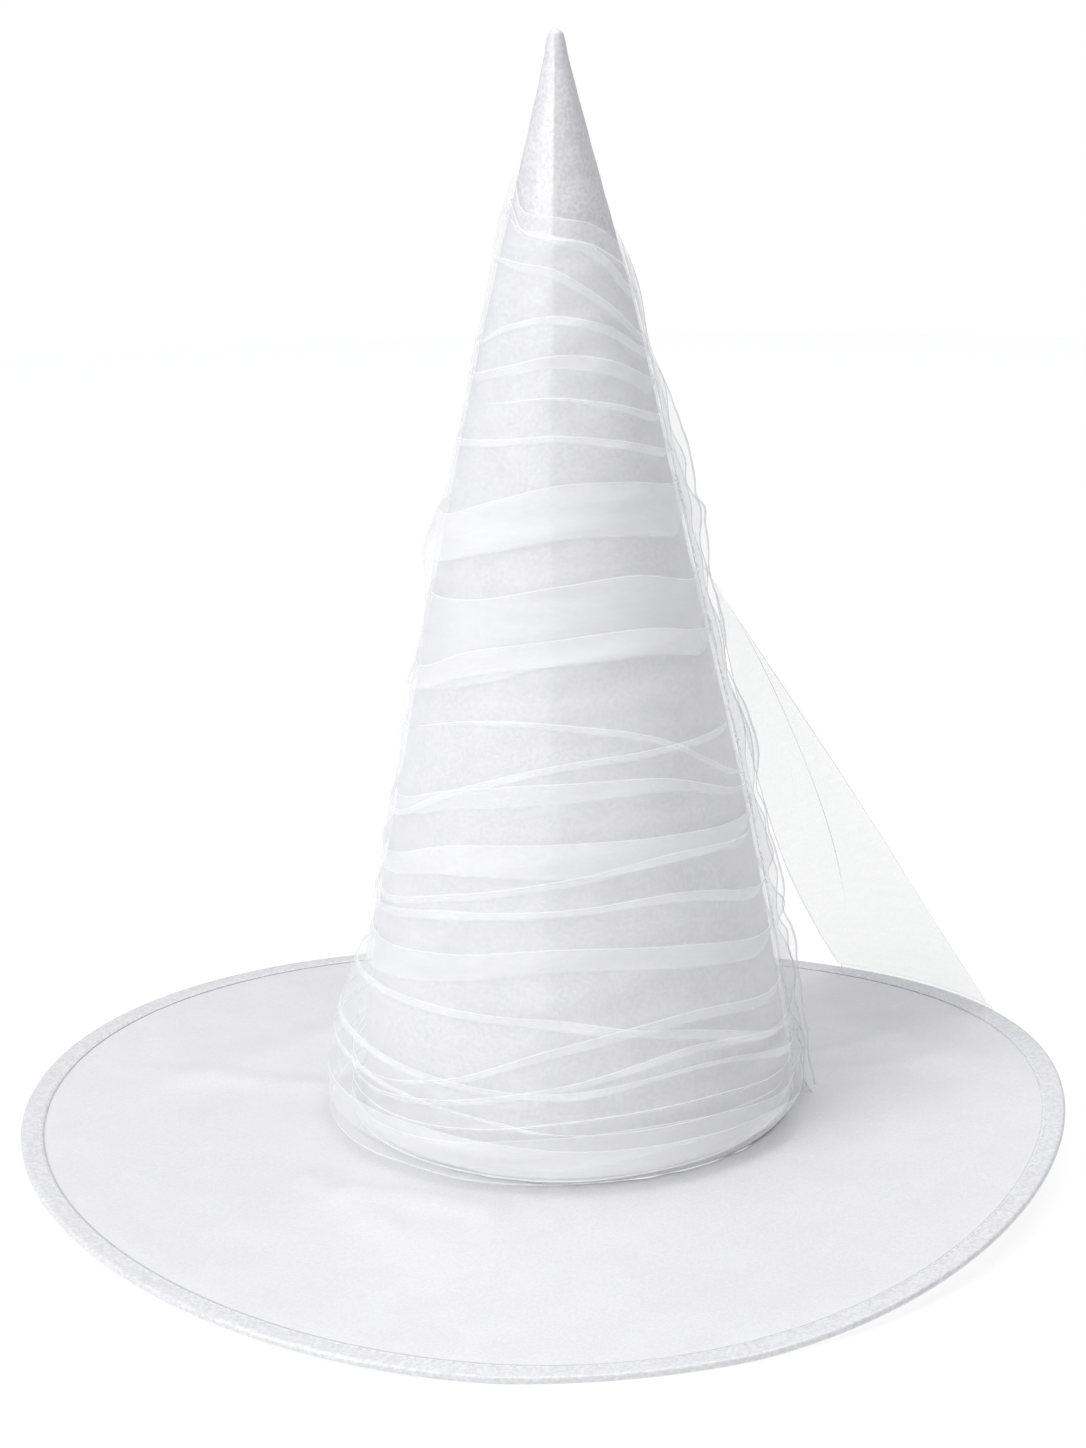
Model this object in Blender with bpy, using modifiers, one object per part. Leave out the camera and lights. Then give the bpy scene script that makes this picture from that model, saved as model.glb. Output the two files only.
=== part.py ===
"""White satin witch hat with a sheer veil, standing on its brim.

Metres, +Z up. The origin lies on the floor, under the middle of the brim's edge. The wearer's
front faces -Y. Angles are in degrees from +X, the hat's right, turning towards +Y, its back.
Tables are in millimetres, and heights in them are over the floor unless they say otherwise.
"""

import math
from typing import NamedTuple

import bmesh
import bpy
from mathutils import Vector

HAT = "witch_hat_with_veil"

MM = 0.001
GAP = 0.3 * MM

BRIM_RADIUS = 220 * MM
EDGE_HEIGHT = 10.6 * MM
EDGE_LIFT = 9.35 * MM
EDGE_SKEW = 1.9 * MM
BRIM_WALL = 2.0 * MM
BRIM_EDGE_WALL = 1.2 * MM
BRIM_RISE = 8.4 * MM
BRIM_FLARE = 2.2
BRIM_BEND = 1.5
BRIM_TOP_SHARES = (0, 0.08, 0.24, 0.48, 0.74)
BRIM_UNDER_SHARES = (0.45, 0)
BRIM_STEPS = 60

BINDING_WALL = 1.0 * MM
BINDING_WIDTH = 8.5 * MM
BINDING_HALF = BRIM_EDGE_WALL / 2 + GAP + BINDING_WALL
CLOTH_EDGE = BRIM_RADIUS - BINDING_WALL - GAP
THIN_INSET = BINDING_WIDTH + 0.5 * MM
FULL_INSET = BINDING_WIDTH + 3 * MM

CROWN_OFFSET = 15.6 * MM
TIP_OFFSET = 14.8 * MM
CROWN_WALL = 2.0 * MM
CROWN_STEPS = 44
INNER_TIP = 438 * MM

VEIL_WALL = 1.0 * MM
VEIL_CLEAR = GAP + 0.15 * MM
VEIL_SNUG = 1.4 * MM
FOLD_DEPTH = 1.8 * MM
FOLD_TUCK = 0.65

GATHER_ANGLE = 8.0
GATHER_COLUMNS = 2
GATHER_ROWS = 46

TAIL_COLUMNS = 9
TAIL_ROWS = 9
TAIL_TOP = 248 * MM
TAIL_ROOT = 3.2 * MM
TAIL_TOP_START = 6.3 * MM
TAIL_TOP_WIDTH = 7 * MM
TAIL_TOP_RUN = Vector((0.35, 1, 0)).normalized()
TAIL_INNER_SAG = 21 * MM
TAIL_OUTER_SAG = -2 * MM
TAIL_INNER_ANGLE = 50.0
TAIL_OUTER_ANGLE = 23.5
TAIL_HEM_OUT = 2.1 * MM
TAIL_HEM_HEIGHT = 1.6 * MM

CREASE_HEIGHT = 3.5 * MM
CREASE_RISE = Vector((0.45, -0.75, 0.5)).normalized()
CREASE_TOP = 0.85
CREASE_FOOT = 0.25
CREASE_HALF_WIDTH = 0.14


class Section(NamedTuple):
    """One ring of the crown: its height over the crown's foot, and its outer radius."""

    height: float
    radius: float


CROWN_SECTIONS = (
    Section(0, 91.1),
    Section(27, 89.3),
    Section(55, 86.2),
    Section(96, 80.0),
    Section(137, 72.6),
    Section(183, 63.1),
    Section(228, 53.4),
    Section(274, 43.7),
    Section(320, 33.8),
    Section(360, 24.0),
    Section(398, 14.3),
    Section(421, 8.6),
    Section(436, 5.0),
    Section(443.5, 3.5),
    Section(446.5, 2.1),
    Section(447.4, 0),
)
CROWN_INSIDE_HEIGHTS = (0, 55, 137, 228, 320, 398, 430)


class Dent(NamedTuple):
    """A shallow hollow in the crown: where it is, how deep, and its half sizes."""

    angle: float
    height: float
    depth: float
    half_angle: float
    half_height: float


DENTS = (
    Dent(292, 305, 1.4, 26, 16),
    Dent(250, 215, 1.0, 30, 22),
    Dent(310, 120, 1.6, 24, 26),
    Dent(160, 150, 1.4, 26, 30),
    Dent(70, 260, 1.6, 34, 28),
    Dent(110, 90, 2.0, 30, 30),
)


class Ridge(NamedTuple):
    """A soft fold across the brim: its two ends, its height and its half width."""

    start_x: float
    start_y: float
    end_x: float
    end_y: float
    height: float
    half_width: float


RIDGES = (
    Ridge(96, 118, 180, 32, 2.4, 15),
    Ridge(-70, 106, -150, 36, 2.0, 15),
)


class Fold(NamedTuple):
    """One fold of the wound veil: its crest's height and how far it stands off the crown."""

    front: float
    left: float
    right: float
    off_front: float
    off_left: float
    off_right: float


FOLDS = (
    Fold(398, 413, 384, 1.5, 1.5, 1.5),
    Fold(379, 393, 362, 2.2, 3.7, 2.8),
    Fold(361, 352, 343, 3.0, 2.8, 1.8),
    Fold(345, 336, 329, 2.6, 2.5, 3.8),
    Fold(315, 309, 303, 3.6, 2.4, 7.2),
    Fold(297, 278, 284, 2.8, 3.9, 8.2),
    Fold(276, 259, 264, 3.8, 7.7, 7.4),
    Fold(258, 244, 251, 2.6, 5.0, 1.9),
    Fold(240, 214, 232, 3.8, 2.8, 1.8),
    Fold(227, 200, 219, 3.0, 4.2, 1.8),
    Fold(206, 187, 199, 4.0, 3.0, 1.8),
    Fold(188, 175, 184, 3.0, 4.9, 1.8),
    Fold(172, 158, 169, 2.8, 3.4, 1.8),
    Fold(158, 143, 154, 3.8, 3.3, 1.8),
    Fold(146, 131, 140, 3.0, 3.1, 1.8),
    Fold(133, 119, 122, 3.6, 3.7, 1.8),
    Fold(117, 106, 102, 3.0, 3.6, 1.8),
    Fold(105, 91, 86, 3.8, 6.6, 1.8),
    Fold(90, 76, 72, 3.2, 9.3, 1.8),
    Fold(76, 61, 60, 4.0, 12.2, 1.8),
    Fold(60, 47, 47, 4.0, 14.5, 2.0),
    Fold(43, 34, 34, 4.8, 16.2, 3.6),
    Fold(26, 22, 21.5, 3.6, 12.8, 9.5),
)


class Ruffle(NamedTuple):
    """One turn of the gathered edge: where its root and its lip stand off the crown, and its sway."""

    height: float
    root: float
    lip: float
    sway: float


RUFFLES = (
    Ruffle(241, 2.9, 3.9, 0),
    Ruffle(232, 2.9, 5.2, 3.0),
    Ruffle(222, 2.9, 5.8, -1.5),
    Ruffle(213, 2.9, 4.4, -4.0),
    Ruffle(203, 2.9, 6.2, 1.5),
    Ruffle(190, 2.9, 8.2, 4.5),
    Ruffle(177, 2.9, 8.4, -1.0),
    Ruffle(163, 2.9, 4.6, -4.5),
    Ruffle(150, 2.9, 6.6, 2.5),
    Ruffle(138, 2.9, 7.0, 4.5),
    Ruffle(128, 2.9, 5.8, -1.5),
    Ruffle(117, 2.9, 6.8, -4.5),
    Ruffle(105, 2.9, 4.6, 0),
    Ruffle(91, 2.9, 7.2, 4.5),
    Ruffle(79, 2.9, 5.8, -1.0),
    Ruffle(68, 2.9, 7.2, -4.5),
    Ruffle(55, 3.1, 7.6, 2.0),
    Ruffle(46, 3.5, 7.6, 4.5),
    Ruffle(38, 4.3, 8.4, 0),
)


class Bend(NamedTuple):
    """One turn of the tail over the brim's edge: how far out of that edge, and how far up."""

    out: float
    up: float


TAIL_BENDS = (Bend(-1.5, 2.9), Bend(0.9, 1.2), Bend(1.1, -1.2))


def read_smooth(rows, at, column):
    """Reads a column of a table at a value of its first column, along one smooth curve."""
    keys = [row[0] for row in rows]
    values = [row[column] for row in rows]
    if keys[0] > keys[-1]:
        keys.reverse()
        values.reverse()
    at = min(max(at, keys[0]), keys[-1])
    low = max(i for i in range(len(keys) - 1) if keys[i] <= at)
    chords = [
        (values[i + 1] - values[i]) / (keys[i + 1] - keys[i]) for i in range(len(keys) - 1)
    ]
    step = keys[low + 1] - keys[low]
    slope_in = (chords[max(low - 1, 0)] + chords[low]) / 2
    slope_out = (chords[low] + chords[min(low + 1, len(chords) - 1)]) / 2
    t = (at - keys[low]) / step
    return (
        values[low] * (2 * t**3 - 3 * t**2 + 1)
        + slope_in * step * (t**3 - 2 * t**2 + t)
        + values[low + 1] * (3 * t**2 - 2 * t**3)
        + slope_out * step * (t**3 - t**2)
    )


def bump(distance, half_width):
    """A round hill of height 1 that falls to nearly nothing two half widths away."""
    return math.exp(-((distance / half_width) ** 2))


def angle_between(first, second):
    """Smallest difference of two angles in degrees."""
    return (first - second + 180) % 360 - 180


def outward(angle):
    """Unit vector in plan at an angle."""
    turn = math.radians(angle)
    return Vector((math.cos(turn), math.sin(turn), 0))


def blend_round(angle, front, left, right):
    """A value that runs smoothly round the hat through three sides. The back is the sides' mean."""
    back = (left + right) / 2
    return sum(
        value * max(0.0, math.cos(math.radians(angle - side))) ** 2
        for value, side in ((right, 0), (back, 90), (left, 180), (front, 270))
    )


def edge_height(angle):
    """Height of the middle of the brim's edge. Its sides are bent up and its front and back rest."""
    turn = math.radians(angle)
    return EDGE_HEIGHT + EDGE_LIFT * math.cos(2 * turn) + EDGE_SKEW * math.cos(3 * turn)


def brim_ends(angle):
    """Plan positions of the brim's inner edge and of its cloth's outer edge at an angle."""
    inner = Vector((CROWN_OFFSET, 0, 0)) + outward(angle) * opening_radius()
    return inner, outward(angle) * CLOTH_EDGE


def ridge_height(point):
    """Height that the folds across the brim add at a plan position."""
    total = 0.0
    for ridge in RIDGES:
        start = Vector((ridge.start_x, ridge.start_y, 0)) * MM
        end = Vector((ridge.end_x, ridge.end_y, 0)) * MM
        run = end - start
        along = (point - start).dot(run) / run.length_squared
        nearest = start + run * min(max(along, 0.0), 1.0)
        total += ridge.height * MM * bump((point - nearest).length, ridge.half_width * MM)
    return total


def brim_middle(share, angle):
    """Point in the middle of the brim's wall, from share 0 at the head opening to 1 at its edge.

    The cloth is pressed flat where its bound edge rests on the floor.
    """
    inner, outer = brim_ends(angle)
    point = inner.lerp(outer, share)
    height = EDGE_HEIGHT + (edge_height(angle) - EDGE_HEIGHT) * share**BRIM_BEND
    height += BRIM_RISE * (1 - share) ** BRIM_FLARE + ridge_height(point)
    point.z = max(height, BINDING_HALF)
    return point


def in_from_edge(inset, angle):
    """Share of the brim's width at a distance in from the edge of its cloth."""
    inner, outer = brim_ends(angle)
    return 1 - inset / (outer - inner).length


def opening_radius():
    """Radius of the head opening, which is the inside of the crown's foot."""
    return CROWN_SECTIONS[0].radius * MM - CROWN_WALL


def foot_height():
    """Height of the crown's foot, which stands on the brim's inner edge."""
    return EDGE_HEIGHT + BRIM_RISE + BRIM_WALL / 2 + GAP


def crown_axis(height):
    """The crown's centre at a height over its foot. The cone leans a little to the left."""
    share = height / (CROWN_SECTIONS[-1].height * MM)
    x = CROWN_OFFSET + (TIP_OFFSET - CROWN_OFFSET) * share
    return Vector((x, 0, foot_height() + height))


def crown_radius(height):
    """Outer radius of the undented crown at a height over its foot."""
    return read_smooth(CROWN_SECTIONS, height / MM, 1) * MM


def crown_dent(angle, height):
    """Depth of the crown's dents at a place on it."""
    return sum(
        dent.depth
        * MM
        * bump(angle_between(angle, dent.angle), dent.half_angle)
        * bump(height / MM - dent.height, dent.half_height)
        for dent in DENTS
    )


def off_crown(angle, height, off):
    """A point that stands off the crown's outside, at a height over its foot."""
    return crown_axis(height) + outward(angle) * (crown_radius(height) + off)


def spun_shell(name, stations, steps, place, closed):
    """Spins a ladder of stations about Z, then puts each vertex where place says it goes."""
    shell = bmesh.new()
    rungs = [shell.verts.new((1, 0, index)) for index in range(len(stations))]
    rails = [shell.edges.new(pair) for pair in zip(rungs, rungs[1:])]
    if closed:
        rails.append(shell.edges.new((rungs[-1], rungs[0])))
    bmesh.ops.spin(
        shell,
        geom=rungs + rails,
        cent=(0, 0, 0),
        axis=(0, 0, 1),
        angle=math.tau,
        steps=steps,
        use_merge=True,
    )
    for vert in shell.verts:
        angle = math.degrees(math.atan2(vert.co.y, vert.co.x))
        vert.co = place(stations[round(vert.co.z)], angle)
    bmesh.ops.remove_doubles(shell, verts=shell.verts, dist=1e-6)
    bmesh.ops.recalc_face_normals(shell, faces=shell.faces)
    return finish_object(name, shell)


def laid_sheet(name, columns, rows, place, wall):
    """A sheet of cloth from a grid, each vertex put where place(across, down) says it goes."""
    sheet = bmesh.new()
    bmesh.ops.create_grid(sheet, x_segments=columns, y_segments=rows, size=0.5)
    for vert in sheet.verts:
        vert.co = place(vert.co.x + 0.5, 0.5 - vert.co.y)
    obj = finish_object(name, sheet)
    thickness = obj.modifiers.new("Cloth wall", "SOLIDIFY")
    thickness.thickness = wall
    thickness.offset = 0
    return obj


def finish_object(name, shape):
    """Makes a smooth-shaded object of a bmesh, in the hat's collection."""
    mesh = bpy.data.meshes.new(name)
    shape.to_mesh(mesh)
    shape.free()
    mesh.shade_smooth()
    obj = bpy.data.objects.new(name, mesh)
    bpy.data.collections[HAT].objects.link(obj)
    return obj


def build_crown():
    """The hollow cone: down its outside from the tip, and up its inside."""

    def place(station, angle):
        height, wall = station
        if height in (CROWN_SECTIONS[-1].height * MM, INNER_TIP):
            return crown_axis(height)
        return off_crown(angle, height, -wall - crown_dent(angle, height))

    outside = [(row.height * MM, 0) for row in reversed(CROWN_SECTIONS)]
    inside = [(height * MM, CROWN_WALL) for height in CROWN_INSIDE_HEIGHTS]
    stations = outside + inside + [(INNER_TIP, CROWN_WALL)]
    return spun_shell("crown", stations, CROWN_STEPS, place, closed=False)


def build_brim():
    """The ring of stiffened cloth. Its wall is thinner in the binding."""

    def place(station, angle):
        share, inset, side = station
        if share is None:
            share = in_from_edge(inset, angle)
        wall = BRIM_EDGE_WALL if inset <= THIN_INSET else BRIM_WALL
        return brim_middle(share, angle) + Vector((0, 0, side * wall / 2))

    top = [(share, FULL_INSET, 1) for share in BRIM_TOP_SHARES]
    edge = [(None, inset, 1) for inset in (FULL_INSET, THIN_INSET, 0)]
    edge += [(None, inset, -1) for inset in (0, THIN_INSET, FULL_INSET)]
    under = [(share, FULL_INSET, -1) for share in BRIM_UNDER_SHARES]
    return spun_shell("brim", top + edge + under, BRIM_STEPS, place, closed=True)


def build_binding():
    """The strip folded over the brim's edge."""
    half = BINDING_HALF - BINDING_WALL
    section = (
        (-BINDING_WIDTH, half),
        (0, half),
        (GAP, 0),
        (0, -half),
        (-BINDING_WIDTH, -half),
        (-BINDING_WIDTH, -BINDING_HALF),
        (0, -BINDING_HALF),
        (GAP + BINDING_WALL, 0),
        (0, BINDING_HALF),
        (-BINDING_WIDTH, BINDING_HALF),
    )

    def place(station, angle):
        out, up = station
        middle = brim_middle(in_from_edge(max(-out, 0), angle), angle)
        return middle + outward(angle) * max(out, 0) + Vector((0, 0, up))

    return spun_shell("brim_binding", section, BRIM_STEPS, place, closed=True)


def veil_rows():
    """Crest and valley rows of the wound veil, from its top hem to its lower hem."""
    rows = []
    for fold, lower in zip(FOLDS, FOLDS[1:]):
        rows.append((fold, False))
        heights = [a + (b - a) * (1 - FOLD_TUCK) for a, b in zip(fold[:3], lower[:3])]
        offs = [
            max(VEIL_SNUG / MM, (a + b) / 2 - FOLD_DEPTH / MM)
            for a, b in zip(fold[3:], lower[3:])
        ]
        rows.append((Fold(*heights, *offs), True))
    rows.append((FOLDS[-1], False))
    return rows


def build_veil_wrap():
    """The wound veil: folds outside, and a plainer inside that keeps clear of the crown."""
    rows = veil_rows()

    def place(station, angle):
        row, wall = station
        height = blend_round(angle, row.front, row.left, row.right) * MM - foot_height()
        off = blend_round(angle, row.off_front, row.off_left, row.off_right) * MM
        return off_crown(angle, height, max(off - wall, VEIL_CLEAR))

    outside = [(row, 0) for row, _ in rows]
    inside = [(row, VEIL_WALL) for row, valley in rows if valley]
    hems = (FOLDS[-1], VEIL_WALL), (FOLDS[0], VEIL_WALL)
    stations = outside + [hems[0]] + inside[::-1] + [hems[1]]
    return spun_shell("veil_wrap", stations, CROWN_STEPS, place, closed=True)


def build_veil_gather():
    """The ruffled line where the veil is drawn up, as a wavy strip that stands on the wrap."""
    top, foot = RUFFLES[0].height, RUFFLES[-1].height
    sideways = outward(GATHER_ANGLE + 90)

    def place(across, down):
        height = top + (foot - top) * down
        root, lip, sway = (read_smooth(RUFFLES, height, column) * MM for column in (1, 2, 3))
        off = root + (lip - root) * across
        return off_crown(GATHER_ANGLE, height * MM - foot_height(), off) + sideways * sway * across

    return laid_sheet("veil_gather", GATHER_COLUMNS, GATHER_ROWS, place, VEIL_WALL)


def tail_bends(angle):
    """Points of the tail where it turns over the brim's bound edge, and its hem."""
    direction = outward(angle)
    rim = direction * BRIM_RADIUS + Vector((0, 0, edge_height(angle)))
    points = [rim + direction * bend.out * MM + Vector((0, 0, bend.up * MM)) for bend in TAIL_BENDS]
    hem = direction * (BRIM_RADIUS + TAIL_HEM_OUT)
    hem.z = TAIL_HEM_HEIGHT
    return points + [hem]


def build_veil_tail():
    """The loose end: gathered to a point on the crown, it widens down to the brim's edge."""
    root = off_crown(GATHER_ANGLE, TAIL_TOP - foot_height(), TAIL_ROOT)
    rows = TAIL_ROWS + len(TAIL_BENDS)

    def place(across, down):
        bends = tail_bends(TAIL_INNER_ANGLE + (TAIL_OUTER_ANGLE - TAIL_INNER_ANGLE) * across)
        row = round(down * rows)
        if row >= TAIL_ROWS:
            return bends[row - TAIL_ROWS]
        share = row / TAIL_ROWS
        arch = math.sin(math.pi * share)
        start = root + TAIL_TOP_RUN * (TAIL_TOP_START - TAIL_TOP_WIDTH * across)
        point = start.lerp(bends[0], share)
        point.z -= (TAIL_INNER_SAG + (TAIL_OUTER_SAG - TAIL_INNER_SAG) * across) * arch
        crease = CREASE_TOP + (CREASE_FOOT - CREASE_TOP) * share
        return point + CREASE_RISE * CREASE_HEIGHT * bump(across - crease, CREASE_HALF_WIDTH) * arch

    return laid_sheet("veil_tail", TAIL_COLUMNS, rows, place, VEIL_WALL)


def make_material(name, colour, roughness, alpha, sheen):
    """A cloth's finish."""
    material = bpy.data.materials.new(name)
    material.use_nodes = True
    shader = material.node_tree.nodes["Principled BSDF"]
    shader.inputs["Base Color"].default_value = (*colour, 1)
    shader.inputs["Roughness"].default_value = roughness
    shader.inputs["Metallic"].default_value = 0
    shader.inputs["Alpha"].default_value = alpha
    shader.inputs["Sheen Weight"].default_value = sheen
    return material


def clear_scene():
    """Removes what the scene holds."""
    for obj in list(bpy.data.objects):
        bpy.data.objects.remove(obj, do_unlink=True)


def main():
    """Builds the hat's pieces and dresses them."""
    clear_scene()
    bpy.context.scene.collection.children.link(bpy.data.collections.new(HAT))
    white = (0.88, 0.88, 0.9)
    pieces = (
        (build_crown(), make_material("crown_satin", white, 0.34, 1, 0.2)),
        (build_brim(), make_material("brim_satin", white, 0.42, 1, 0.2)),
        (build_binding(), make_material("binding_satin", (0.84, 0.84, 0.86), 0.36, 1, 0.2)),
        (build_veil_wrap(), make_material("wound_net", (0.93, 0.93, 0.94), 0.6, 0.45, 0.4)),
        (build_veil_gather(), make_material("gathered_net", (0.93, 0.93, 0.94), 0.6, 0.6, 0.4)),
        (build_veil_tail(), make_material("hanging_net", (0.93, 0.93, 0.94), 0.6, 0.35, 0.4)),
    )
    for piece, material in pieces:
        piece.data.materials.append(material)


main()
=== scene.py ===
"""A white satin witch hat, wound with a sheer veil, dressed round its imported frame.

Metres, +Z up, with the wearer's front towards -Y. Angles are in degrees from the hat's right,
+X, turning towards its back, +Y. The tables are in millimetres, with heights over the floor.
"""

from __future__ import annotations

import logging
import math
from collections.abc import Callable, Sequence
from dataclasses import dataclass, field
from enum import Enum
from typing import NamedTuple

import bmesh
import bpy
import numpy as np
from mathutils import Matrix, Vector

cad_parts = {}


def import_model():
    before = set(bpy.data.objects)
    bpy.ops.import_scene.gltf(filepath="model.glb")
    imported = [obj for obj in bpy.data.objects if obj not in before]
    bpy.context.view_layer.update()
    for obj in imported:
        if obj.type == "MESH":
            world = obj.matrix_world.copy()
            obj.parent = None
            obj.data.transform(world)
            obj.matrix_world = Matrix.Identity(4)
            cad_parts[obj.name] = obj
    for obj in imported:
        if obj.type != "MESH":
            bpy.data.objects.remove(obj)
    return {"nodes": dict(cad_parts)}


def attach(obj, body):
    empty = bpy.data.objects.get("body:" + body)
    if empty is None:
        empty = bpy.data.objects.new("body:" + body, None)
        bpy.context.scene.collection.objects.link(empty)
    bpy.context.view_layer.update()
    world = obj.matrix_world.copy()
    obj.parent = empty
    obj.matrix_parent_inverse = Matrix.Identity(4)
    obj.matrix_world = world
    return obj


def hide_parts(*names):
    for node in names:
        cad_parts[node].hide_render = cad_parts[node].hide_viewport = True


LOG = logging.getLogger("witch_hat")
MM = 0.001
BODY = "root"

Array = np.ndarray
Colour = tuple[float, float, float]


class CrownSection(NamedTuple):
    """One ring of the crown: its height over the crown's foot, and its outer radius."""

    height: float
    radius: float


CROWN_SECTIONS = (
    CrownSection(0, 91.1),
    CrownSection(27, 89.3),
    CrownSection(55, 86.2),
    CrownSection(96, 80.0),
    CrownSection(137, 72.6),
    CrownSection(183, 63.1),
    CrownSection(228, 53.4),
    CrownSection(274, 43.7),
    CrownSection(320, 33.8),
    CrownSection(360, 24.0),
    CrownSection(398, 14.3),
    CrownSection(421, 8.6),
    CrownSection(436, 5.0),
    CrownSection(443.5, 3.5),
    CrownSection(446.5, 2.1),
    CrownSection(447.4, 0),
)


class Dent(NamedTuple):
    """A shallow hollow in the crown: where it is, how deep, and its half sizes."""

    angle: float
    height: float
    depth: float
    half_angle: float
    half_height: float


DENTS = (
    Dent(292, 305, 1.4, 26, 16),
    Dent(250, 215, 1.0, 30, 22),
    Dent(310, 120, 1.6, 24, 26),
    Dent(160, 150, 1.4, 26, 30),
    Dent(70, 260, 1.6, 34, 28),
    Dent(110, 90, 2.0, 30, 30),
    Dent(283, 318, 0.7, 12, 7),
    Dent(300, 366, 0.5, 30, 9),
    Dent(322, 262, 0.6, 22, 9),
    Dent(300, 200, 0.6, 26, 12),
)


class Ridge(NamedTuple):
    """A soft fold across the brim: its two ends in plan, its height and its half width."""

    start_x: float
    start_y: float
    end_x: float
    end_y: float
    height: float
    half_width: float


RIDGES = (
    Ridge(96, 118, 180, 32, 2.4, 15),
    Ridge(-70, 106, -150, 36, 2.0, 15),
)


SATIN_CREASES = (
    Ridge(100, 34, 158, 62, 1.3, 5),
    Ridge(104, 20, 166, 34, 0.9, 5),
    Ridge(98, 52, 140, 92, 0.8, 6),
    Ridge(-78, -84, -22, -106, 1.8, 7),
    Ridge(-96, -70, -60, -116, 1.2, 7),
    Ridge(-92, 20, -150, 40, 0.8, 8),
)


class Pleat(NamedTuple):
    """One pleat of the wound net: the height of its top fold at five angles, and its depth."""

    right: float
    near_right: float
    front: float
    near_left: float
    left: float
    deep_right: float
    deep_front: float
    deep_left: float


OUTER_PLEATS = (
    Pleat(386, 395, 398, 400, 410, 0, 0, 0),
    Pleat(369, 386, 391, 393, 398, 7, 3, 0),
    Pleat(344, 356.5, 361, 357, 348, 5, 3, 2),
    Pleat(304, 312, 316, 313, 309, 4, 2.5, 3),
    Pleat(290, 296, 297, 289, 279, 21, 21, 19),
    Pleat(231, 239, 238, 231, 217, 11, 10, 10),
    Pleat(191, 193, 190, 177, 157, 3.5, 3, 3),
    Pleat(152.5, 158, 159, 154, 140, 8, 14, 9),
    Pleat(123, 135, 133.5, 128, 118, 5, 3, 4),
    Pleat(63, 79, 89, 90, 88, 4, 4, 3),
    Pleat(54, 66, 60, 62, 66, 3, 3, 3),
    Pleat(40, 43, 44, 51, 57, 1, 1, 2.5),
    Pleat(33, 36, 37, 40, 41, 3, 12, 14),
    Pleat(29, 25, 23.5, 22, 22, 0, 0, 0),
)
INNER_PLEATS = (
    Pleat(378, 387, 390, 392, 401, 0, 0, 0),
    Pleat(351, 367, 378, 380, 380, 4, 4, 2),
    Pleat(333, 343, 346, 341, 335, 8, 5, 3),
    Pleat(318, 326, 330, 327, 322, 4, 1, 0),
    Pleat(251, 259.5, 258, 251, 246, 31, 30, 38),
    Pleat(173, 196, 205, 203, 192, 3, 2.5, 0),
    Pleat(165, 180, 182, 176, 163, 3, 8, 8),
    Pleat(144.5, 150, 144, 134, 122, 3, 3, 3),
    Pleat(102.5, 113, 117, 110, 103, 9, 9, 14),
    Pleat(78, 86, 78, 58, 47, 5, 4, 0),
    Pleat(62, 72, 62, 50, 42, 3, 3, 2),
    Pleat(43, 50, 47, 39, 36, 1, 1, 1),
    Pleat(34, 42, 41, 33, 29, 4, 14, 6),
    Pleat(27, 24, 22.5, 22, 22, 0, 0, 0),
)


class StandOff(NamedTuple):
    """How far the outermost net stands off the crown on three of its sides, at a height."""

    height: float
    right: float
    front: float
    back: float


STAND_OFFS = (
    StandOff(418, 0.9, 0.9, 0.9),
    StandOff(398, 1.6, 1.8, 2.0),
    StandOff(370, 1.4, 2.2, 2.4),
    StandOff(340, 1.2, 2.3, 2.6),
    StandOff(306, 1.0, 2.3, 2.8),
    StandOff(288, 1.0, 2.3, 3.0),
    StandOff(276, 1.0, 2.7, 3.2),
    StandOff(262, 1.0, 2.4, 3.4),
    StandOff(246, 1.0, 2.2, 3.2),
    StandOff(230, 1.0, 2.4, 3.0),
    StandOff(200, 0.9, 2.6, 3.0),
    StandOff(180, 0.9, 2.3, 3.2),
    StandOff(160, 0.8, 2.6, 3.2),
    StandOff(120, 0.9, 2.7, 3.4),
    StandOff(101, 1.2, 2.9, 3.6),
    StandOff(86, 1.7, 3.2, 4.2),
    StandOff(66, 2.3, 3.8, 5.4),
    StandOff(50, 3.0, 4.4, 7.0),
    StandOff(34, 4.6, 5.8, 8.6),
    StandOff(21, 7.4, 7.4, 9.6),
)


class Scallop(NamedTuple):
    """A place on the outer net's left outline: its height and how far off the crown it is."""

    height: float
    left: float


SCALLOPS = (
    Scallop(418, 0.6),
    Scallop(400, 3.2),
    Scallop(385, 2.9),
    Scallop(355, 1.9),
    Scallop(310, 1.9),
    Scallop(283, 3.3),
    Scallop(262, 7.2),
    Scallop(247, 3.8),
    Scallop(223, 1.8),
    Scallop(198, 3.7),
    Scallop(189, 2.1),
    Scallop(183, 4.4),
    Scallop(172, 1.5),
    Scallop(166, 2.9),
    Scallop(157, 1.4),
    Scallop(142, 3.4),
    Scallop(131, 2.0),
    Scallop(122, 4.1),
    Scallop(115, 2.8),
    Scallop(106, 4.3),
    Scallop(100, 3.6),
    Scallop(88, 6.5),
    Scallop(66, 12),
    Scallop(45, 15),
    Scallop(21, 14.5),
)


class Ruffle(NamedTuple):
    """A place on the gathered edge: how far its lip stands off the crown, and its sway."""

    height: float
    lip: float
    sway: float


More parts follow.
